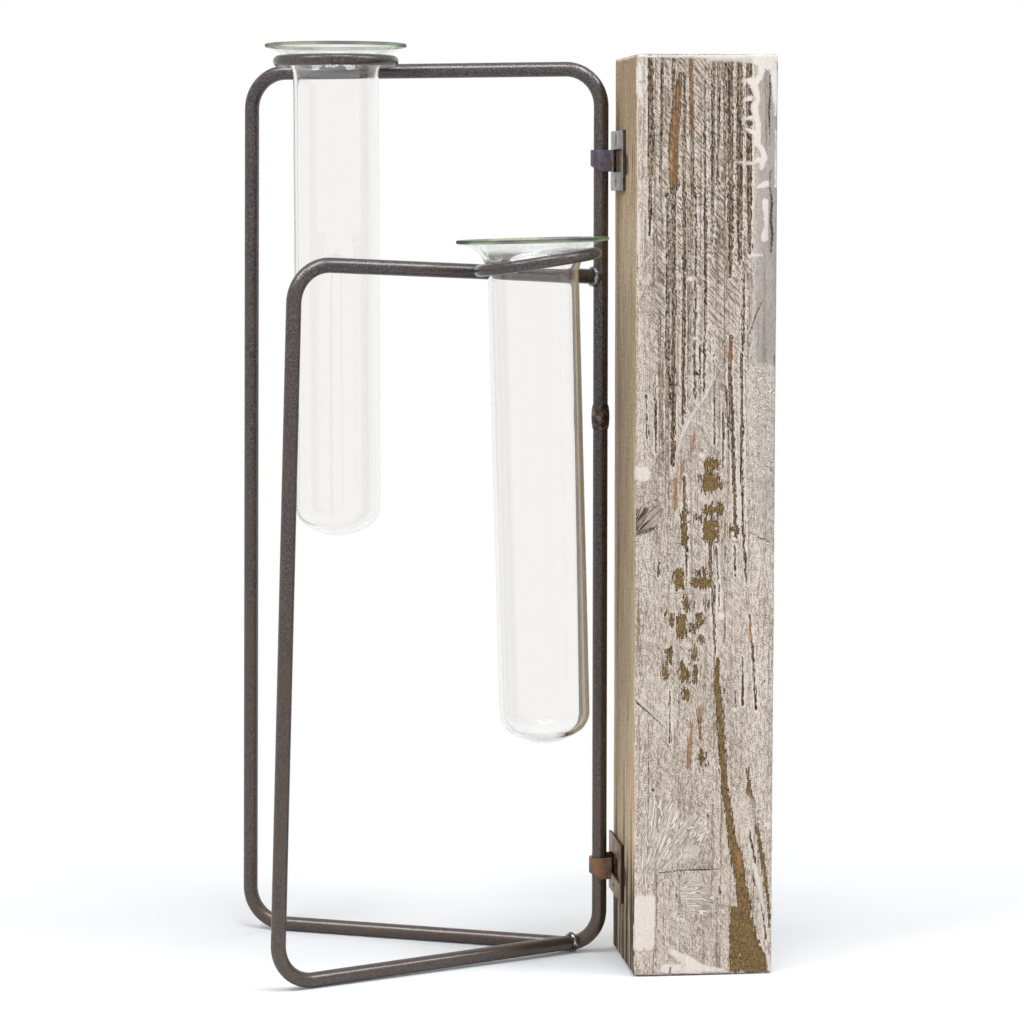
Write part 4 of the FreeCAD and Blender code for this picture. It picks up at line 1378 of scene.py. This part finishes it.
@dataclass
class RodFrame:
    """Two bent rod loops on one upright, with the rings and the welds that hold them together."""

    rod_diameter: float = 5.0
    bend_radius: float = 12.5
    back_swing_angle: float = 24.2
    back_top_reach: float = 125.9
    back_bottom_reach: float = 128.9
    back_loop_height: float = 303.7
    front_swing_angle: float = 21.5
    front_top_reach: float = 112.7
    front_bottom_reach: float = 120.5
    front_left_height: float = 239.7
    front_right_height: float = 234.2
    front_end_bend_angle: float = 25.0
    ring_outer_diameter: float = 42.2
    ring_rod_diameter: float = 3.8
    lower_ring_side_tilt: float = 7.8
    lower_ring_front_tilt: float = 4.0
    closing_weld_middle: float = 184.5
    weld_voxel: float = 0.16
    weld_smoothing: float = 0.5
    weld_smooth_steps: int = 3
    round_steps: int = 40
    bend_steps: int = 18
    ring_steps: int = 120
    axis: Vector = field(default_factory=lambda: Vector(
        next(joint for joint in frame["joints"] if joint["name"] == "frame_hinge")["pos_m"]) / MM)

    def rod_tree(self) -> Shaping:
        """Make the tree that rounds a path's corners and sweeps a round rod along it.

        Returns:
            The tree.
        """
        tree = Shaping("rod_along_path", ("Rod Radius", "Bend Radius"), ("Bend Steps", "Round Steps"))
        line = tree.add("GeometryNodeMeshToCurve", sockets={"Mesh": tree.given["Geometry"]})
        bent = tree.add("GeometryNodeFilletCurve", {"mode": "POLY"}, {
            "Curve": line, "Count": tree.given["Bend Steps"], "Radius": tree.given["Bend Radius"]})
        section = tree.add("GeometryNodeCurvePrimitiveCircle", {"mode": "RADIUS"}, {
            "Resolution": tree.given["Round Steps"], "Radius": tree.given["Rod Radius"]})
        tree.end(tree.add("GeometryNodeCurveToMesh", sockets={
            "Curve": bent, "Profile Curve": section, "Fill Caps": True}))
        return tree

    def rod(self, name: str, node: str, points: list[Vector], closed: bool, diameter: float, bend: float,
            finish: bpy.types.Material) -> None:
        """Sweep a rod along a path.

        Args:
            name: The piece's name.
            node: The CAD node that it replaces.
            points: The path's corners, from the hinge axis at the floor.
            closed: Whether the path ends where it starts.
            diameter: The rod's diameter.
            bend: The radius of its bends.
            finish: Its material.
        """
        base = Vector((self.axis.x, self.axis.y, 0))
        edges = [(index, index + 1) for index in range(len(points) - 1)]
        if closed:
            edges.append((len(points) - 1, 0))
        path = mesh_piece("rod_path", [base + point for point in points], [], edges)
        piece = self.tree.run(path, name, Rod_Radius=diameter / 2 * MM, Bend_Radius=bend * MM,
                              Bend_Steps=self.bend_steps, Round_Steps=self.round_steps, Finish=finish)
        place(outward_faces(piece), Body.FRAME, node)

    def front_bar_end(self) -> Vector:
        """Give the point on the back loop's bend where the front loop's bottom bar ends.

        Returns:
            The point, from the hinge axis at the floor.
        """
        turn = math.radians(self.front_end_bend_angle)
        along = self.bend_radius * (1 - math.sin(turn))
        height = self.rod_diameter / 2 + self.bend_radius * (1 - math.cos(turn))
        return leftward(self.back_swing_angle) * along + UP * height

    def ring_points(self, node: str, bar_way: Vector, side_tilt: float, front_tilt: float) -> list[Vector]:
        """Give the points round a ring's wire.

        Args:
            node: The ring's CAD node, whose middle is the ring's.
            bar_way: The direction of its bar.
            side_tilt: Its tilt along the bar.
            front_tilt: Its tilt away from the bar.

        Returns:
            The points, from the hinge axis at the floor.
        """
        centre = middle_of(node) - Vector((self.axis.x, self.axis.y, 0))
        level = Vector((bar_way.x, bar_way.y, 0)).normalized()
        forward = Vector((-level.y, level.x, 0))
        turn = (Matrix.Rotation(math.radians(-front_tilt), 3, UP.cross(forward))
                @ Matrix.Rotation(math.radians(side_tilt), 3, UP.cross(bar_way)))
        radius = (self.ring_outer_diameter - self.ring_rod_diameter) / 2
        return [centre + turn @ Vector(point) for point in circle(radius, self.ring_steps)]

    def build(self, finish: bpy.types.Material, weld: bpy.types.Material) -> None:
        """Build the loops, the rings and the welds.

        Args:
            finish: The rods' material.
            weld: The welds' material.
        """
        self.tree = self.rod_tree()
        radius = self.rod_diameter / 2
        back, front = leftward(self.back_swing_angle), leftward(-self.front_swing_angle)
        top = self.back_loop_height - radius
        loop = [UP * self.closing_weld_middle, UP * top, back * self.back_top_reach + UP * top,
                back * self.back_bottom_reach + UP * radius, UP * radius]
        right_end = UP * (self.front_right_height - radius)
        left_corner = front * self.front_top_reach + UP * (self.front_left_height - radius)
        bottom_corner = front * self.front_bottom_reach + UP * radius
        arms = [right_end, left_corner, bottom_corner, self.front_bar_end()]
        for side, path, closed in (("back", loop, True), ("front", arms, False)):
            self.rod(f"{side}_rod_loop", f"{side}_loop", path, closed, self.rod_diameter, self.bend_radius,
                     finish)
        bars = {"upper_ring": (back, 0.0, 0.0),
                "lower_ring": ((left_corner - right_end).normalized(), self.lower_ring_side_tilt,
                               self.lower_ring_front_tilt)}
        for node, (bar_way, side_tilt, front_tilt) in bars.items():
            points = self.ring_points(node, bar_way, side_tilt, front_tilt)
            self.rod(f"{node}_wire", node, points, True, self.ring_rod_diameter, 0.0, finish)
        self.welds(weld)

    def welds(self, finish: bpy.types.Material) -> None:
        """Lay the five weld beads, each in the place of its CAD node.

        Args:
            finish: The metal of all but the closing weld, which is duller.
        """
        dull = WeldMetal(name="weld_metal_dull", bright=tone(116, 104, 98), metal=tone(74, 66, 64)).make()
        for name in ("closing_weld", "front_top_weld", "front_bottom_weld", "upper_ring_weld",
                     "lower_ring_weld"):
            source = cad_copy(name, dull if name == "closing_weld" else finish)
            remesh = source.modifiers.new("bead", "REMESH")
            remesh.mode = "VOXEL"
            remesh.voxel_size = self.weld_voxel * MM
            smooth = source.modifiers.new("soften", "SMOOTH")
            smooth.factor, smooth.iterations = self.weld_smoothing, self.weld_smooth_steps
            piece = settled(source, f"{name}_bead")
            piece.data.shade_smooth()
            place(piece, Body.FRAME, name)


# The glass


@dataclass
class GlassTube:
    """A blown tube with a flattened round bottom and a rim that flares out over its ring."""

    label: str
    diameter: float
    rim_diameter: float
    lean: float = 0.0
    side_shift: float = 0.0
    lift: float = 0.0
    length: float = 165.8
    wall: float = 1.2
    flare_radius: float = 11.0
    dome_share: float = 0.7
    shoulder_radius: float = 8.0
    seat_gap: float = 0.3
    ring_outer_diameter: float = RodFrame.ring_outer_diameter
    ring_rod_diameter: float = RodFrame.ring_rod_diameter
    turn_steps: int = 128
    arc_steps: int = 14
    wall_steps: int = 40
    waver: float = 0.05
    waver_cells: tuple[float, float, float] = (0.11, 0.11, 0.03)
    waver_start: float = 8.0
    margin: float = 0.02
    seed: int = 29

    def arc(self, centre: tuple[float, float], reach: float, start: float,
            end: float) -> list[tuple[float, float]]:
        """Give the points of an arc of the profile.

        Args:
            centre: The arc's middle, as a distance from the axis and a height.
            reach: Its radius.
            start: Its first angle, counted from outwards towards up, in radians.
            end: Its last angle.

        Returns:
            The points, both ends included.
        """
        angles = np.linspace(start, end, self.arc_steps + 1)
        return [(centre[0] + reach * math.cos(angle), centre[1] + reach * math.sin(angle))
                for angle in angles]

    def profile(self, ring_height: float) -> list[tuple[float, float]]:
        """Work out the wall's profile from the outer pole up, over the lip and down to the inner pole.

        Args:
            ring_height: The height of the ring's middle.

        Returns:
            Distances from the axis and heights.
        """
        radius = self.diameter / 2
        middle = radius + self.flare_radius
        lip = self.wall / 2
        span = math.hypot(lip, self.flare_radius + lip)
        turn = math.atan2(self.flare_radius + lip, lip) + math.asin((self.rim_diameter / 2 - middle) / span)
        ring_wire = (self.ring_outer_diameter - self.ring_rod_diameter) / 2
        inside = self.flare_radius - self.ring_rod_diameter / 2 - self.seat_gap
        start = ring_height - math.sqrt(inside ** 2 - (middle - ring_wire) ** 2) + self.lift
        top = start + (self.flare_radius + lip) * math.sin(turn) + lip
        bottom = top - self.length
        dome = radius * self.dome_share
        shoulder = self.shoulder_radius
        crown = ((radius - shoulder) ** 2 + dome ** 2 - shoulder ** 2) / (2 * (dome - shoulder))
        meeting = math.atan2(dome - crown, radius - shoulder)
        flare_end = math.pi - turn
        lip_middle = (middle + (self.flare_radius + lip) * math.cos(flare_end),
                      start + (self.flare_radius + lip) * math.sin(flare_end))

        def skin(inset: float) -> list[tuple[float, float]]:
            """Give one skin's dome, wall and flare.

            Args:
                inset: How far it lies inside the outer skin.

            Returns:
                Its points, from its pole up.
            """
            run = self.arc((0, bottom + crown), crown - inset, -math.pi / 2, meeting)
            run += self.arc((radius - shoulder, bottom + dome), shoulder - inset, meeting, 0)[1:]
            heights = np.linspace(bottom + dome, start, self.wall_steps + 1)[1:]
            run += [(radius - inset, float(height)) for height in heights]
            return run + self.arc((middle, start), self.flare_radius + inset, math.pi, flare_end)[1:]

        lip_arc = self.arc(lip_middle, lip, flare_end - math.pi, flare_end)[1:-1]
        return skin(0.0) + lip_arc + skin(self.wall)[::-1]

    def build(self, body: Body, finish: bpy.types.Material) -> bpy.types.Object:
        """Build the tube.

        Args:
            body: The body that it rides on.
            finish: The glass.

        Returns:
            The piece.
        """
        centre = middle_of(f"{self.label}_ring") + RIGHT * self.side_shift
        (_, outer_pole), *rings, (_, inner_pole) = self.profile(centre.z)
        turned = [point for reach, height in rings for point in circle(reach, self.turn_steps, height)]
        points = np.array([(0, 0, outer_pole), *turned, (0, 0, inner_pole)])
        away = np.linalg.norm(points[:, :2], axis=1)
        waves = LatticeNoise(self.seed).at(points, self.waver_cells)
        wave = (waves - 0.5) * self.waver * np.clip(away / self.waver_start, 0, 1)
        points[:, :2] *= (1 + (wave - self.waver / 2 - self.margin) / np.maximum(away, TINY))[:, None]
        flare = np.clip((away * 2 - self.diameter) / (self.rim_diameter - self.diameter), 0, 1)
        steps, last = self.turn_steps, len(points) - 1
        turn = [(index, (index + 1) % steps) for index in range(steps)]
        faces = [(0, 1 + after, 1 + index) for index, after in turn]
        for here in range(1, last - steps, steps):
            faces += [(here + index, here + after, here + steps + after, here + steps + index)
                      for index, after in turn]
        faces += [(last - steps + index, last - steps + after, last) for index, after in turn]
        spin = Matrix.Rotation(math.radians(-self.lean), 3, BACK)
        placed = [centre + spin @ Vector((x, y, z - self.margin - centre.z)) for x, y, z in points]
        piece = mesh_piece(f"{self.label}_glass_tube", placed, faces)
        piece.data.materials.append(finish)
        hold(piece, "flare", flare)
        return place(piece, body, f"{self.label}_test_tube")


# The studio


@dataclass(frozen=True)
class Lamp:
    """A square soft lamp that points at the object's middle, with its place and width in millimetres.

    It can't be seen through glass, and in metal and glass only where it is mirrored.
    """

    name: str
    spot: tuple[float, float, float]
    width: float = 520.0
    watts: float = 9.6
    colour: tuple[float, float, float] = (0.8, 0.89, 1.0)
    mirrored: bool = True
    aim_height: float = 150.0

    def hang(self) -> None:
        """Hang the lamp in the scene."""
        data = bpy.data.lights.new(self.name, "AREA")
        data.size, data.energy, data.color = self.width * MM, self.watts, self.colour
        lamp = bpy.data.objects.new(self.name, data)
        lamp.location = [value * MM for value in self.spot]
        aim = Vector((0, 0, self.aim_height * MM)) - lamp.location
        lamp.rotation_euler = aim.to_track_quat("-Z", "Y").to_euler()
        lamp.visible_glossy, lamp.visible_transmission = self.mirrored, False
        bpy.context.scene.collection.objects.link(lamp)


@dataclass
class Studio:
    """A pale floor, soft light all round and the camera."""

    focal_pixels: float = 3300.0
    image_pixels: float = 1024.0
    sensor: float = 36.0
    view_range: tuple[float, float] = (50.0, 40000.0)
    camera_place: tuple[float, float, float] = (-121.07, -1101.29, 259.0)
    camera_pitch: float = 5.48
    camera_yaw: float = 6.428
    floor_radius: float = 4000.0
    floor_steps: int = 96
    floor_fade: tuple[float, float] = (150.0, 400.0)
    floor_colour: tuple = (0.78, 0.75, 0.71, 1.0)
    floor_glow: tuple = (0.06, 0.07, 0.09, 1.0)
    white: tuple = (1.0, 1.0, 1.0, 1.0)
    room_light: float = 0.31
    warm: tuple[float, float, float] = (1.0, 0.95, 0.88)

    def camera(self) -> None:
        """Set up the camera."""
        data = bpy.data.cameras.new("camera")
        data.sensor_width = self.sensor
        data.lens = self.focal_pixels / self.image_pixels * self.sensor
        data.clip_start, data.clip_end = (value * MM for value in self.view_range)
        camera = bpy.data.objects.new("camera", data)
        camera.location = [value * MM for value in self.camera_place]
        camera.rotation_euler = (math.radians(90 - self.camera_pitch), 0, math.radians(-self.camera_yaw))
        bpy.context.scene.collection.objects.link(camera)
        bpy.context.scene.camera = camera

    def floor(self) -> None:
        """Lay the pale floor, which fades to white for the camera and keeps the shadow."""
        faces = [(0, 1 + index, 1 + (index + 1) % self.floor_steps) for index in range(self.floor_steps)]
        points = [(0.0, 0.0, 0.0), *circle(self.floor_radius, self.floor_steps)]
        floor = mesh_piece("floor", points, faces, smooth=False)
        tree = Shading("pale_floor")
        seen = seen_white(tree)
        split = tree.add("ShaderNodeVectorMath", {"operation": "LENGTH"}, {0: tree.mapped((1, 1, 1))})
        distance = Value(tree, split.outputs[1])
        matte = tree.add("ShaderNodeBsdfDiffuse", sockets={"Color": self.floor_colour})
        glow = tree.add("ShaderNodeEmission", sockets={"Color": self.floor_glow, "Strength": seen})
        both = tree.add("ShaderNodeAddShader", sockets={0: matte, 1: glow})
        white = tree.add("ShaderNodeEmission", sockets={"Color": self.white})
        faded = tree.add("ShaderNodeMixShader", sockets={
            0: distance.over(*self.floor_fade) * seen, 1: both, 2: white})
        tree.add("ShaderNodeOutputMaterial", sockets={"Surface": faded})
        floor.data.materials.append(tree.material)

    def world(self) -> None:
        """Light the room evenly, and show it white to the camera and in metal and glass."""
        world = bpy.data.worlds.new("studio")
        world.use_nodes = True
        bpy.context.scene.world = world
        tree = Graph(world.node_tree)
        strength = seen_white(tree) * (1 - self.room_light) + self.room_light
        back = tree.add("ShaderNodeBackground", sockets={"Color": self.white, "Strength": strength})
        tree.add("ShaderNodeOutputWorld", sockets={"Surface": back})

    def lamps(self) -> None:
        """Hang three slightly blue lamps overhead and two slightly warm ones at the sides."""
        for side, across in (("left", -700), ("middle", 60), ("right", 900)):
            Lamp(f"overhead_{side}_lamp", (across, -420, 1300)).hang()
        Lamp("front_left_lamp", (-1000, -1150, 650), 1300.0, 8.8, self.warm, mirrored=False).hang()
        Lamp("back_right_lamp", (900, 1150, 600), 1100.0, 8.4, self.warm, mirrored=False).hang()

    def build(self) -> None:
        """Build the studio."""
        self.camera()
        self.floor()
        self.world()
        self.lamps()
        bpy.context.scene.view_settings.view_transform = "Standard"


def main() -> None:
    """Build every part of the scene, in order."""
    logging.basicConfig(level=logging.INFO, format="%(name)s %(message)s")
    Studio().build()
    TimberPost().build(WhitewashedTimber().make())
    screws = ScrewSteel().make()
    rusted = PlateSteel(name="plate_steel_rusted", rust_share=0.55, steel=tone(148, 128, 110),
                        bloom=tone(182, 158, 134), dark=tone(88, 75, 66), rust=tone(136, 96, 64))
    for label, steel in (("upper", PlateSteel()), ("lower", rusted)):
        plate = HingePlate(label)
        plate.plate(steel.make())
        plate.screws(screws)
    RodFrame().build(HammeredRod().make(), WeldMetal().make())
    glass = ClearGlass().make()
    GlassTube("upper", 29.0, 47.7).build(Body.UPPER_TUBE, glass)
    GlassTube("lower", 29.8, 50.0, lean=1.5, side_shift=-1.5, lift=1.2, seed=23).build(Body.LOWER_TUBE, glass)


if __name__ == "__main__":
    main()
